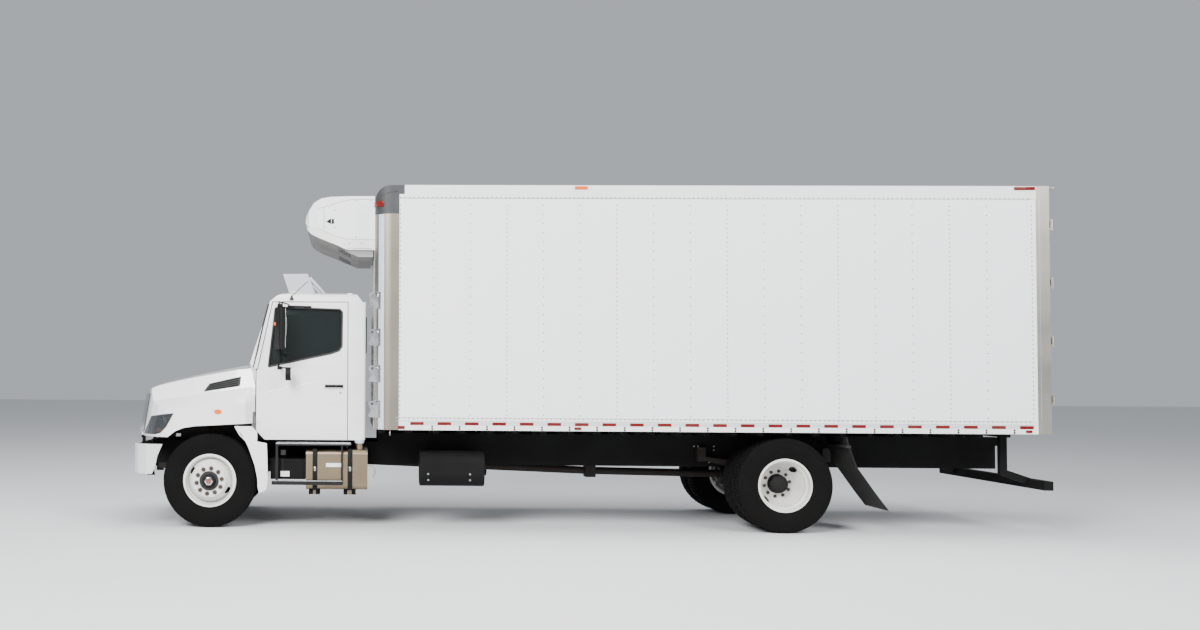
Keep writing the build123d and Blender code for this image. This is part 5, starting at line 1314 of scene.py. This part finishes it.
@dataclass
class BodyFront:
    """Painted highlight strips on the corner posts, lamps, plates and rivets on the nose of the box."""

    highlight_turns: Sequence[int] = (40, 46, 52, 58, 64)
    lamp_turns: Sequence[int] = range(6, 64, 8)
    bead: tuple[Flat, ...] = ((1869, 3694), (1895, 3714), (1926, 3734), (1980, 3761), (2033, 3776), (2104, 3779))
    rivet_columns: tuple[int, ...] = (0, 406, -406, 812, -812, 1080, -1080)
    bow_pitch: float = 405.5

    @staticmethod
    def wrap(low: float, high: float, turns: Sequence[float]) -> list[Flat]:
        """Gives the closed plan of a piece round the corner post, between two radii, at degrees from straight ahead."""
        middle_x, middle_s = POST_CENTRE
        return [(middle_x + r * math.sin(math.radians(a)), middle_s - r * math.cos(math.radians(a)))
                for r, line in ((high, turns), (low, turns[::-1])) for a in line]

    def build(self) -> None:
        """Dresses the front wall and the corner posts."""
        # Bluish white strips round the corner posts: a painted highlight for the sky's reflection on their curve
        strip = Shop.prism("painted_highlight_strips", self.wrap(POST_RADIUS - 1, POST_RADIUS + 1, self.highlight_turns), Along.UP,
                           BODY_BOTTOM + 4, 3526, 0.4, 1)
        Catalogue.both(strip, BRIGHT_METAL_AND_PAINTED_HIGHLIGHT)
        lamp = Shop.prism("top_front_lamps", self.wrap(POST_RADIUS - 2, POST_RADIUS + 14, self.lamp_turns), Along.UP,
                          3614, 3676, 5, 2)
        Catalogue.both(lamp, RED_LENS)
        bead = []
        for s, z in self.bead:
            ahead = max(POST_CENTRE[1] - s, 0)
            bead.append((POST_CENTRE[0] + math.sqrt(POST_RADIUS**2 - ahead**2), s, z))
        Catalogue.both(Shop.pipe("casting_bead", bead, 5, True), DARK_CAST)
        rivets = [Shop.row(Shop.heads("front_rivets", [((x, BODY_FRONT, FLOOR_TOP + 30), (0, -1, 0))], 6, 7, 3.2, 0.55),
                           16, (0, 0, 101.6)) for x in self.rivet_columns]
        Catalogue.place(Shop.join("front_rivets", rivets), RIVET_MID_GREY)
        sill = Shop.block("nose_sill", (-1110, 1110), (BODY_FRONT - 8, BODY_FRONT + 2), (1120, 1215), 2, 2)
        Catalogue.place(sill, RAIL_ALLOY)
        roof_bows = Shop.block("roof_bows", (-1210, 1210), (2505, 2545), (BODY_TOP - 1, BODY_TOP - 0.05), 0.3, 1)
        Catalogue.place(Shop.row(roof_bows, 16, (0, self.bow_pitch, 0)), ROOF_SKIN)


@dataclass
class ClimbingSteps:
    """Bolts of the steps on the left front corner, four on each step's foot."""

    heights: tuple[float, ...] = (1346.0, 1742.0, 2148.0, 2560.0)
    turns_deg: Flat = (12, 36)
    rises: Flat = (-80, 80)
    reach: float = POST_RADIUS + 6

    def build(self) -> None:
        """Puts the bolts on the steps' curved feet."""
        seats = []
        for z in self.heights:
            for side, ahead in ((math.sin(math.radians(t)), math.cos(math.radians(t))) for t in self.turns_deg):
                for rise in self.rises:
                    place = (POST_CENTRE[0] + self.reach * side, POST_CENTRE[1] - self.reach * ahead, z + rise)
                    seats.append((place, (side, -ahead, 0)))
        Catalogue.place(Shop.heads("climbing_bolts", seats, 6, 7, 5, 0.8), ZINC)


@dataclass
class CoolingUnit:
    """Seams, latches, louvres and screws of the cooling unit."""

    half: float = 960.0
    screws: tuple[Flat, ...] = ((1393, 3612), (1393, 3410), (1274, 3415), (1810, 3722), (1640, 3722), (1640, 3300),
                                (1700, 3230), (1560, 3230))
    louvres: int = 6
    louvre_low: float = 3560.0
    louvre_pitch: float = 24.0
    hole_rows: int = 7
    hole_columns: int = 8

    def seams(self) -> None:
        """Makes the seams down the unit's sides."""
        for name, width, finish, points in (
            ("unit_cap_seam", 3, GASKET, ((1202, 3630), (1260, 3641), (1446, 3702), (1572, 3730), (1845, 3738))),
            ("unit_door_seam", 3, GASKET, ((1269, 3634), (1269, 3385))),
            ("unit_base_trim", 5, RAIL_ALLOY, ((1205, 3400), (1265, 3371), (1383, 3320), (1509, 3281), (1848, 3271))),
            ("unit_lower_seam", 3, GASKET, ((1540, 3175), (1821, 3169))),
        ):
            line = [(self.half - width * 0.55, s, z) for s, z in points]
            Catalogue.both(Shop.pipe(name, line, width), finish)

    def nose(self) -> None:
        """Makes the louvres on the leaning nose, the bead under them, and black dots below that paint the shade inside
        the drain holes.
        """
        rows = []
        for index in range(self.louvres):
            z = self.louvre_low + index * self.louvre_pitch
            lean = 1060 + (z - 3534) * (1090 - 1056) / 63 if z < 3597 else 1090 + (z - 3597) * 63 / 97
            rows.append((-640, 640, lean - 7, lean + 10, z - 4, z + 4))
        Catalogue.place(Shop.blocks("unit_louvres", rows, 2, 1), BLACK_PLASTIC)
        Catalogue.place(Shop.block("unit_front_bead", (-880, 880), (1054, 1062), (3536, 3542), 2, 1), UNIT_GREY)
        # Black dots on the grey pan stand for the holes: painted shade inside them
        seats = []
        for share in ((row + 0.5) / self.hole_rows for row in range(self.hole_rows)):
            for x in (300 + column * 62 for column in range(self.hole_columns)):
                seats += [((way * x, 1434 + 146 * share, 3203 - 76 * share), (0, -0.46, -0.89)) for way in (1, -1)]
        Catalogue.place(Shop.heads("unit_hole_shade_dots", seats, 6, 9, 2, 0.9), GASKET)

    def build(self) -> None:
        """Dresses the unit."""
        self.seams()
        face = (self.half - 3, self.half + 7)
        wedge = Shop.prism("unit_latches", [(1293, 3480), (1350, 3514), (1350, 3450)], Along.ACROSS, *face, 3)
        bar = Shop.block("unit_latches", face, (1358, 1384), (3454, 3508), 4)
        Catalogue.both(Shop.join("unit_latches", [wedge, bar]), BLACK_PLASTIC)
        hinge = Shop.pipe("unit_hinges", [(self.half - 1, 1822, 3330), (self.half - 1, 1822, 3640)], 7)
        Catalogue.both(hinge, UNIT_SHELL)
        Catalogue.both(Shop.heads("unit_screws", facing_left(self.half, self.screws), 8, 9, 4, 0.7), ZINC)
        self.nose()


@dataclass
class Hood:
    """Lamps, vents, trims and catches of the tilting hood."""

    nose_slope: float = 93 / 564
    vent: tuple[Flat, ...] = ((-104, 1522), (-38, 1616), (331, 1701), (322, 1588))
    slats: int = 4
    housing: tuple[Flat, ...] = ((620, -744), (760, -690), (900, -604), (1010, -500), (1070, -398), (1052, -392),
                                 (996, -490), (888, -590), (752, -676), (616, -730))
    turn_lens: tuple[Flat, ...] = ((1000, -614), (1062, -540), (1095, -474), (1085, -468), (1052, -532), (992, -604))
    lamp_centre: Flat = (93, 1303)
    lamp_half: Flat = (43, 26)

    def nose(self, z: float, back: float = -905) -> float:
        """Gives the station of the leaning nose at a height; back is its station at the bumper's top."""
        return back + (z - 960) * self.nose_slope

    def headlights(self) -> None:
        """Makes the reflectors, the amber part and the dark housing behind each lens."""
        housing = Shop.prism("headlight_housings", self.housing, Along.UP, 1032, 1262)
        Catalogue.both(housing, BLACK_PLASTIC, "hood")
        for name, place, size in (("reflector_main", (790, -690, 1130), 76), ("reflector_turn", (985, -532, 1196), 48)):
            bowl = [(0, size), (6, size), (6, size * 0.97), (-14, size * 0.8), (-30, size * 0.45), (-34, 3), (-38, 3),
                    (-34, size * 0.5), (-17, size * 0.86)]
            Catalogue.both(Shop.turned(name, bowl, place, Along.LENGTH, 32, -1), CHROME, "hood")
        amber = Shop.prism("turn_lenses", self.turn_lens, Along.UP, 1062, 1104, 2, 1)
        Catalogue.both(amber, AMBER_LENS_PAINTED_GLOW, "hood")

    def grille(self) -> None:
        """Makes the mesh behind the bars and the black seam beside the chrome."""
        mesh = [[(x, self.nose(z) + 52, z) for z in (1092, 1452)] for x in range(-480, 481, 20)]
        Catalogue.place(Shop.pipes("grille_mesh", mesh, 2.2), BLACK_PLASTIC, "hood")
        seam = [(545, self.nose(z, -861), z) for z in (1046, 1150, 1300, 1440, 1490)]
        Catalogue.both(Shop.pipe("grille_seam", seam, 6), GASKET, "hood")

    def vents(self) -> None:
        """Makes the grey slats of the side vents."""
        low_front, high_front, high_rear, low_rear = (Vector(p) for p in self.vent)
        slats = []
        for index in range(self.slats):
            share = (index + 0.75) / (self.slats + 0.5)
            front, rear = low_front.lerp(high_front, share), low_rear.lerp(high_rear, share)
            way = (rear - front).normalized()
            front, rear = front + way * 26, rear - way * 22
            rise = Vector((0, 5))
            corners = [tuple(p) for p in (front - rise, rear - rise, rear + rise, front + rise)]
            slats.append(Shop.skin("vent_slats", corners, "grille", 7, 2, 6))
        Catalogue.both(Shop.join("vent_slats", slats), SLAT_GREY, "hood")

    def build(self) -> None:
        """Dresses the hood."""
        self.headlights()
        self.grille()
        self.vents()
        turns = [2 * math.pi * i / 20 for i in range(20)]
        oval = [(self.lamp_centre[0] + self.lamp_half[0] * math.cos(a),
                 self.lamp_centre[1] + self.lamp_half[1] * math.sin(a)) for a in turns]
        Catalogue.both(Shop.skin("fender_lamps", oval, "hood_shell", 14, 4), AMBER_LENS_PAINTED_GLOW, "hood")
        catch = Shop.blocks("hood_catches", ((1004, 1016, 455, 490, 1300, 1420), (1012, 1024, 460, 485, 1340, 1380)), 4)
        Catalogue.both(catch, GASKET, "hood")


@dataclass
class Bumper:
    """Plate and inlet of the front bumper."""

    slats: int = 5
    slat_low: float = 690.0
    slat_pitch: float = 26.0

    def build(self) -> None:
        """Dresses the bumper."""
        lows = [self.slat_low + self.slat_pitch * i for i in range(self.slats)]
        inlet = Shop.blocks("bumper_inlet", [(-430, 430, -899.8, -896, z, z + 12) for z in lows], 2, 1)
        Catalogue.place(inlet, BLACK_PLASTIC)
        Catalogue.place(Shop.block("front_plate", PLATE_X, (-899.9, -897), (836, 916), 1), LABEL)


@dataclass
class Cab:
    """Handles, seals, wipers, aerial and mirrors of the cab."""

    window: tuple[Flat, ...] = ((648, 1812), (1362, 1968), (1450, 2000), (1481, 2050), (1484, 2440), (1458, 2470),
                                (742, 2494), (716, 2470))
    shut_line: tuple[Flat, ...] = ((508, 1090), (606, 981), (1550, 981), (1550, 2557), (688, 2557), (526, 1790),
                                   (508, 1762))
    folds: tuple[tuple[Flat, Flat], ...] = (((598, 1513), (1344, 1675)), ((540, 1398), (1530, 1398)),
                                            ((560, 1120), (1530, 1120)))
    hinge_heights: Flat = (1180, 1560)
    screen_z: Flat = (1846.0, 2548.0)
    pillar_line: tuple[Flat, ...] = ((476, 1808), (519, 2002), (578, 2277), (640, 2530))
    aerial_foot: Point = (918, 903, 2576)
    mirror_centre: Flat = (1253.0, 789.0)
    mirror_turn_deg: float = 20.0
    tube: Flat = (1235, 775)

    def doors(self) -> None:
        """Makes the window rubbers, handles, locks and pressed lines of the doors."""
        line = [(cab_side(z) + 1.0, s, z) for s, z in self.window]
        Catalogue.both(Shop.pipe("window_rubber", line + line[:1], 11), GASKET, *CAB_DOORS)
        shut = [(cab_side(z) - 10, s, z) for s, z in self.shut_line]
        Catalogue.both(Shop.pipe("door_seal", shut + shut[:1], 4.2), GASKET, *CAB_DOORS)
        rim = Shop.block("handle_rim", (1008, 1019), (1282, 1508), (1560, 1632), 5, 3)
        Catalogue.both(rim, CAB_PAINT, *CAB_DOORS)
        grip = Shop.block("door_handle", (1010, 1040), (1292, 1498), (1574, 1618), 8, 4)
        Catalogue.both(grip, BLACK_PLASTIC, *CAB_DOORS)
        lock = Shop.heads("door_lock", facing_left(1015, ((1470, 1520),)), 16, 13, 4, 0.9)
        Catalogue.both(lock, ZINC, *CAB_DOORS)
        creases = [[(cab_side(z) - 2.2, s, z) for s, z in ends] for ends in self.folds]
        Catalogue.both(Shop.pipes("door_creases", creases, 5), CAB_PAINT, *CAB_DOORS)
        hinge = Shop.blocks("door_hinges", [(1002, 1024, 518, 556, z, z + 70) for z in self.hinge_heights], 4)
        Catalogue.both(hinge, CAB_PAINT, *CAB_DOORS)

    @staticmethod
    def screen(x: float, z: float, ahead: float = 0.0) -> Point:
        """Gives a place on the windshield, or ahead of it, at a distance from the middle and a height."""
        sag = 60 * (1 - (x / 935) ** 2)
        return (x, 445 - sag + (z - 1832) * 224 / 717 - 3 - ahead, z)

    def windshield(self) -> None:
        """Makes the rubbers of the windshield and its pillars, and the bar down its middle."""
        low, high = self.screen_z
        ring = [self.screen(-900 + 180 * i, low) for i in range(11)]
        ring += [self.screen(905 - 68 * i / 6, low + (high - low) * i / 6) for i in range(1, 7)]
        ring += [self.screen(837 - 167.4 * i, high) for i in range(1, 11)]
        ring += [self.screen(-837 - 68 * i / 6, high - (high - low) * i / 6) for i in range(1, 7)]
        Catalogue.place(Shop.pipe("windshield_rubber", ring, 9), GASKET)
        sides = [[(way * (cab_side(z) - 6), s, z) for s, z in self.pillar_line] for way in (1, -1)]
        Catalogue.place(Shop.pipes("pillar_rubbers", sides, 12), GASKET)
        Catalogue.place(Shop.pipe("windshield_divider", [self.screen(0, z) for z in self.screen_z], 5), GASKET)

    def wipers(self) -> None:
        """Makes the two wipers, each an arm and a blade."""
        wipers = []
        for x in (-150, 620):
            elbow, tip = self.screen(x, 1900, 22), self.screen(x, 2080, 14)
            arm = [self.screen(x, 1840, 6), (x - 120, elbow[1], 1905), (x - 400, tip[1], 2080)]
            blade = [self.screen(x - 400 + 190 * i, 2080 + 62 * i, 8) for i in (-1.6, -0.8, 0, 0.8, 1.6)]
            wipers += [Shop.pipe("wipers", arm, 6), Shop.pipe("wipers", blade, 5)]
        Catalogue.place(Shop.join("wipers", wipers), BLACK_PLASTIC)

    def rear_window(self) -> None:
        """Makes the rubber of the rear window."""
        ring = [(sx * 545, 1762, 2190 + sz * 205) for sx, sz in ((-1, -1), (1, -1), (1, 1), (-1, 1), (-1, -1))]
        Catalogue.place(Shop.pipe("rear_window_rubber", ring, 9), GASKET)

    def aerial(self) -> None:
        """Makes the whip aerial on the roof's left edge, and the roof's pale lamps."""
        foot = Vector(self.aerial_foot)
        base = Shop.turned("aerial_base", [(0, 0.5), (0, 30), (12, 30), (34, 16), (56, 9), (56, 0.5)], foot,
                           Along.UP, 20)
        Catalogue.place(base, GASKET)
        line = [foot + Vector(rise) for rise in ((0, 0, 50), (4, 90, 130), (8, 186, 222))]
        Catalogue.place(Shop.pipe("aerial_whip", line, 4, True), GASKET)
        lamp = Shop.block("roof_lamps", (846, 906), (1540, 1600), (2622, 2662), 8, 3)
        Catalogue.both(lamp, PALE_LENS)

    def mirrors(self) -> None:
        """Makes the mirror glasses, the clamps, arms and feet on the tube, and the mirror lamps."""
        turn = math.radians(self.mirror_turn_deg)
        way, side = Vector((-math.sin(turn), math.cos(turn))), Vector((math.cos(turn), math.sin(turn)))
        flat = [tuple(Vector(self.mirror_centre) + side * a + way * b)
                for a, b in ((-92, 34), (92, 34), (92, 38), (-92, 38))]
        glass = Shop.prism("mirror_glass", flat, Along.UP, 2026, 2464, 1.5, 2)
        Catalogue.both(glass, MIRROR_GLASS, *CAB_DOORS)
        disc = Shop.turned("round_glass", [(0, 1), (0, 66), (3, 66), (6, 50), (8, 1)], (1169, 911, 1731),
                           Along.LENGTH, 32)
        Catalogue.both(disc, MIRROR_GLASS, *CAB_DOORS)
        clamps = [Shop.turned("mirror_clamps", [(-14, 10), (-14, 19), (14, 19), (14, 10)], (*self.tube, z), Along.UP,
                              20) for z in (1880, 1960, 2500)]
        Catalogue.both(Shop.join("mirror_clamps", clamps), BLACK_PLASTIC, *CAB_DOORS)
        arms = Shop.pipes("mirror_arms", [[(*self.tube, 2530), (1180, 768, 2545), (1010, 862, 2528), (955, 890, 2500)],
                                          [(958, 890, 2508), (957, 1130, 2499)]], 8)
        feet = Shop.blocks("mirror_arms", ((944, 966, 858, 930, 2484, 2514), (946, 966, 1046, 1128, 2488, 2510)), 4)
        Catalogue.both(Shop.join("mirror_arms", [arms, feet]), BLACK_PLASTIC, *CAB_DOORS)
        lens = Shop.block("mirror_lamps", (1290, 1312), (722, 746), (2272, 2306), 5, 3)
        Catalogue.both(lens, AMBER_LENS_PAINTED_GLOW, *CAB_DOORS)

    def build(self) -> None:
        """Dresses the cab."""
        self.doors()
        self.windshield()
        self.wipers()
        self.rear_window()
        self.aerial()
        self.mirrors()


@dataclass
class Inside:
    """Seats, dials and the gear lever."""

    seat_x: float = 430.0
    pad_half: float = 245.0
    back_half: float = 240.0
    base_half: float = 200.0
    back_section: tuple[Flat, ...] = ((1478, 1530), (1570, 2140), (1640, 2140), (1620, 1520))
    swell: float = 14.0

    def seats(self) -> None:
        """Makes two upholstered seats on plain boxes."""
        x = self.seat_x
        cushion = Shop.block("seat_pads", (x - self.pad_half, x + self.pad_half), (1095, 1580), (1422, 1512), 42, 4)
        back = Shop.prism("seat_pads", self.back_section, Along.ACROSS, x - self.back_half, x + self.back_half, 30, 4)
        for pad in (cushion, back):
            Shop.puff(pad, self.swell)
        driver = Shop.join("seat_pads", [cushion, back])
        beside = Shop.copies(driver, [Matrix.Translation((-2 * x / 1000, 0, 0))])
        pads = Shop.join("seat_pads", [driver, *beside])
        Catalogue.place(pads, SEAT_CLOTH, "chassis", ("seats",))
        bases = [(x - self.base_half, x + self.base_half, 1150, 1530, 1045, 1412) for x in (self.seat_x, -self.seat_x)]
        Catalogue.place(Shop.blocks("seat_bases", bases, 12, 2), BLACK_PLASTIC)

    def dash(self) -> None:
        """Makes the dials and the gear lever."""
        dial = [(-2, 2), (-2, 44), (6, 44), (6, 38), (1, 36), (1, 2)]
        dials = [Shop.turned("dash_dials", dial, (x, 806, 1762), Along.LENGTH, 24) for x in range(310, 551, 80)]
        Catalogue.place(Shop.join("dash_dials", dials), GASKET)
        lever = Shop.pipe("gear_lever", [(90, 1120, 1046), (90, 1100, 1300), (110, 1080, 1500)], 9, True)
        Catalogue.place(lever, GASKET)

    def build(self) -> None:
        """Fits the inside."""
        self.seats()
        self.dash()


@dataclass
class Chassis:
    """Tank, steps, springs, brakes and lines under the truck."""

    strap_stations: Flat = (1161, 1556)
    tank_bottom: float = 424.0
    tank_top: float = 878.0
    foot_stations: tuple[float, ...] = (1116, 1196, 1508, 1602)
    unit_tank_spots: tuple[Flat, ...] = ((2461, 615), (2461, 548), (2930, 615), (2930, 549))
    hanger_spots: tuple[Flat, ...] = ((5614, 909), (5661, 910), (5661, 859), (5661, 814), (5661, 781), (5845, 911),
                                      (5845, 866), (5789, 726))
    rail_face: float = 432.0

    def tank(self) -> None:
        """Makes the fuel tank's straps, cap, feet and blank label, and the hook beside it."""
        straps, bolts = [], []
        for s in self.strap_stations:
            ends = (s - 2, s + 52)
            straps += [(540, 1110, *ends, z, z + 12) for z in (self.tank_bottom, self.tank_top)]
            straps.append((1098, 1110, *ends, self.tank_bottom, self.tank_top + 12))
            bolts.append((1108, 1122, s + 12, s + 38, 640, 690))
        Catalogue.place(Shop.blocks("tank_straps", straps, 5, 3), STRAP_BLACK)
        Catalogue.place(Shop.blocks("tank_strap_bolts", bolts, 4), ZINC)
        cap = Shop.turned("tank_cap", [(0, 1), (0, 50), (8, 54), (30, 54), (38, 46), (38, 1)], (1010, 1687, 952),
                          Along.UP, 24)
        Catalogue.place(cap, BRIGHT_METAL_AND_PAINTED_HIGHLIGHT)
        Catalogue.place(Shop.block("tank_label", (1099.5, 1102), (1310, 1488), (686, 730), 0.5, 1), LABEL)
        feet = [(900, 1050, s, s + 46, 372, 426) for s in self.foot_stations]
        Catalogue.place(Shop.blocks("tank_feet", feet, 5), CHASSIS_BLACK)
        hook = [(1040, 1800, 700), (1040, 1850, 690), (1040, 1872, 620), (1040, 1846, 566)]
        Catalogue.place(Shop.pipe("hose_hook", hook, 8, True), ZINC)

    def boxes(self) -> None:
        """Makes the battery box's lid strap and blank labels, and the bolts of the cooling unit's tank."""
        labels = ((431.5, 434, 764, 822, 770, 832), (1059.5, 1061.5, 796, 896, 572, 632))
        Catalogue.place(Shop.blocks("blank_labels", labels, 0.5, 1), LABEL)
        lid = ((650, 1070, 806, 836, 768, 774), (1064, 1070, 806, 836, 640, 770))
        Catalogue.place(Shop.blocks("battery_strap", lid, 2, 1), STRAP_BLACK)
        bolts = Shop.heads("unit_tank_bolts", facing_left(1090, self.unit_tank_spots), 6, 14, 9, 0.8)
        Catalogue.place(bolts, ZINC)

    def steps(self) -> None:
        """Makes the toothed treads and noses of the cab steps."""
        teeth = Shop.prism("step_teeth", [(958, 950), (964, 958), (970, 950)], Along.LENGTH, 750, 1584)
        Catalogue.both(Shop.row(teeth, 13, (13, 0, 0)), BRIGHT_CAST)
        low = Shop.prism("low_step_teeth", [(1124, 528), (1129, 535), (1134, 528)], Along.LENGTH, 706, 1494)
        Catalogue.both(Shop.row(low, 3, (11, 0, 0)), BRIGHT_CAST)
        saw = [(700 + 10 * i, 524 + (8 if i % 2 else 0)) for i in range(81)]
        edge = Shop.prism("step_noses", [*saw, (1500, 519), (700, 519)], Along.ACROSS, 1150, 1159)
        Catalogue.both(edge, BRIGHT_CAST)

    def brakes(self) -> None:
        """Makes the brake chambers, U-bolts, shock absorbers and air lines."""
        can = [(-70, 1), (-70, 78), (-4, 78), (-4, 88), (6, 88), (6, 80), (52, 66), (58, 1)]
        chambers = [Shop.turned("brake_chambers", can, place, Along.LENGTH, 24)
                    for place in ((560, 240, 470), (600, REAR_AXLE + 250, 560))]
        Catalogue.both(Shop.join("brake_chambers", chambers), CHASSIS_BLACK)
        bolts = []
        for x, axle, low, high, half in ((400, 0, 470, 660, 60), (488, REAR_AXLE, 440, 750, 76)):
            for s in (axle - half, axle + half):
                bolts.append([(x + dx, s, z) for dx, z in ((-46, low), (-46, high), (-30, high + 14), (30, high + 14),
                                                           (46, high), (46, low))])
        Catalogue.both(Shop.pipes("spring_u_bolts", bolts, 9), ZINC)
        Catalogue.both(Shop.pipe("front_shocks", [(470, -210, 520), (452, -330, 800)], 30), CHASSIS_BLACK)
        lines = [[(300, 700, 860), (300, 2500, 850), (300, 5200, 860), (240, REAR_AXLE, 800)],
                 [(330, 700, 880), (330, 2500, 872), (330, 5200, 880), (300, REAR_AXLE + 200, 620)]]
        Catalogue.both(Shop.pipes("air_lines", lines, 7, True), GASKET)

    def bolts(self) -> None:
        """Makes the bolt heads on the frame rails, the spring hangers and the rear mud flaps."""
        frame_spots = [(s, z) for s in range(2400, 8800, 800) for z in (720, 890)]
        for name, spots, size, finish in (("frame_bolts", frame_spots, (12, 9), CHASSIS_BLACK),
                                          ("hanger_bolts", self.hanger_spots, (11, 8), ZINC)):
            Catalogue.both(Shop.heads(name, facing_left(self.rail_face, spots), 6, *size, 0.8), finish)
        flaps = [((x, 7092, 1010), (0, 1, 0)) for x in range(700, 1230, 120)]
        Catalogue.both(Shop.heads("flap_bolts", flaps, 6, 10, 7, 0.8), ZINC)

    def build(self) -> None:
        """Dresses the chassis."""
        self.tank()
        self.boxes()
        self.steps()
        self.brakes()
        self.bolts()


@dataclass
class Rear:
    """Seals, plates and bolts of the rear doors and frame."""

    hinge_heights: tuple[float, ...] = (1500, 2140, 2780, 3420)
    bolt_columns: tuple[float, ...] = (1010, 1060, 1110, 1160)
    bolt_rises: Flat = (-18, 18)
    bezel: tuple[Flat, ...] = ((-2, 52), (-2, 62), (7, 62), (10, 57), (10, 52))
    small_lamp: float = 0.6

    def build(self) -> None:
        """Dresses the rear."""
        seal = Shop.block("door_gasket", (5, 13), (BODY_REAR - 60, BODY_REAR + 3), (1270, 3690), 3, 2)
        Catalogue.both(seal, GASKET, *REAR_DOORS)
        seats = [((x, BODY_REAR + 22, z + rise), (0, 1, 0)) for z in self.hinge_heights for x in self.bolt_columns
                 for rise in self.bolt_rises]
        Catalogue.both(Shop.heads("hinge_bolts", seats, 8, 8, 5, 0.7), ZINC, *REAR_DOORS)
        Catalogue.place(Shop.block("rear_plate", PLATE_X, (9326, 9329.5), (514, 580), 1.5, 2), LABEL)
        rings = []
        for x, size in ((1140, 1), (1010, 1), (130, self.small_lamp)):
            ring = [(d, r * size) for d, r in self.bezel]
            rings.append(Shop.turned("tail_bezels", ring, (x, BODY_REAR + 1, 1179), Along.LENGTH, 24))
        Catalogue.both(Shop.join("tail_bezels", rings), GASKET)
        fold = Shop.block("rear_post_folds", (BODY_HALF - 1, BODY_HALF + 1), (9158, 9166), (1262, 3700), 0.5, 1)
        Catalogue.both(fold, RAIL_ALLOY)
        spots = [(9216, z) for z in range(1300, 3700, 200)]
        Catalogue.both(Shop.heads("rear_post_screws", facing_left(BODY_HALF, spots), 8, 7, 3, 0.7), ZINC)


@dataclass
class Studio:
    """Plain floor, light and the camera of the photograph; places are in metres in the frame."""

    camera_place: Point = (14.9585, -2.6582, 1.7482)
    yaw_deg: float = -1.4643
    pitch_deg: float = 1.7666
    roll_deg: float = 0.3332
    focal_px: float = 1225.9
    centre_px: Flat = (317.2, 334.8)
    width_px: int = 1200
    height_px: int = 630
    floor_size: float = 120.0
    world_colour: str = "#dfe5ec"
    world_strength: float = 0.62

    def build(self) -> None:
        """Makes the floor, the lights, the world and the camera."""
        Shop.clear()
        bpy.ops.mesh.primitive_plane_add(size=self.floor_size, location=(0, 0, -0.002))
        floor = bpy.context.object
        floor.name = "studio_floor"
        bpy.ops.object.transform_apply(location=True)
        floor.data.materials.append(Paint.of(STUDIO_FLOOR))
        world = bpy.data.worlds.new("pale room")
        bpy.context.scene.world = world
        world.use_nodes = True
        back = world.node_tree.nodes["Background"]
        back.inputs["Color"].default_value = linear(self.world_colour)
        back.inputs["Strength"].default_value = self.world_strength
        # Name, place, width, power in watts and the place aimed at
        for name, place, size, watts, aim in (
            ("key", (15.0, -9.0, 11.0), 9.0, 6400.0, (0.0, 0.0, 1.6)),
            ("fill", (13.0, 9.0, 10.0), 8.0, 2200.0, (0.0, 1.0, 1.5)),
            ("top", (0.0, 0.0, 12.0), 10.0, 1400.0, (0.0, 0.0, 0.0)),
        ):
            light = bpy.data.lights.new(name, "AREA")
            light.shape = "DISK"
            light.size = size
            light.energy = watts
            lamp = bpy.data.objects.new(name, light)
            lamp.location = place
            lamp.rotation_euler = (Vector(aim) - Vector(place)).to_track_quat("-Z", "Y").to_euler()
            bpy.context.collection.objects.link(lamp)
        self.camera()

    def camera(self) -> None:
        """Places the camera where the photograph was taken."""
        yaw, pitch, roll = (math.radians(v) for v in (self.yaw_deg, self.pitch_deg, self.roll_deg))
        look = Vector((-math.cos(pitch) * math.cos(yaw), math.cos(pitch) * math.sin(yaw), math.sin(pitch)))
        right = Vector((math.sin(yaw), math.cos(yaw), 0.0))
        up = right.cross(look)
        columns = (math.cos(roll) * right + math.sin(roll) * up, math.cos(roll) * up - math.sin(roll) * right, -look)
        data = bpy.data.cameras.new("photo")
        data.sensor_width = 36.0
        data.lens = self.focal_px * data.sensor_width / self.width_px
        data.shift_x = (self.width_px / 2 - self.centre_px[0]) / self.width_px
        data.shift_y = (self.centre_px[1] - self.height_px / 2) / self.width_px
        data.clip_end = 200.0
        camera = bpy.data.objects.new("photo", data)
        camera.matrix_world = Matrix.Translation(self.camera_place) @ Matrix(
            [[c[i] for c in columns] for i in range(3)]).to_4x4()
        bpy.context.collection.objects.link(camera)
        bpy.context.scene.camera = camera


def main() -> None:
    """Builds every sub-assembly in turn and reports it."""
    for part in (Studio(), Carried(), Tyres(), WheelFittings(), BodySides(), BodyFront(), ClimbingSteps(),
                 CoolingUnit(), Hood(), Bumper(), Cab(), Inside(), Chassis(), Rear()):
        LOG.info("%s", type(part).__name__)
        part.build()
    LOG.info("%d pieces added", Catalogue.count)


if __name__ == "__main__":
    main()
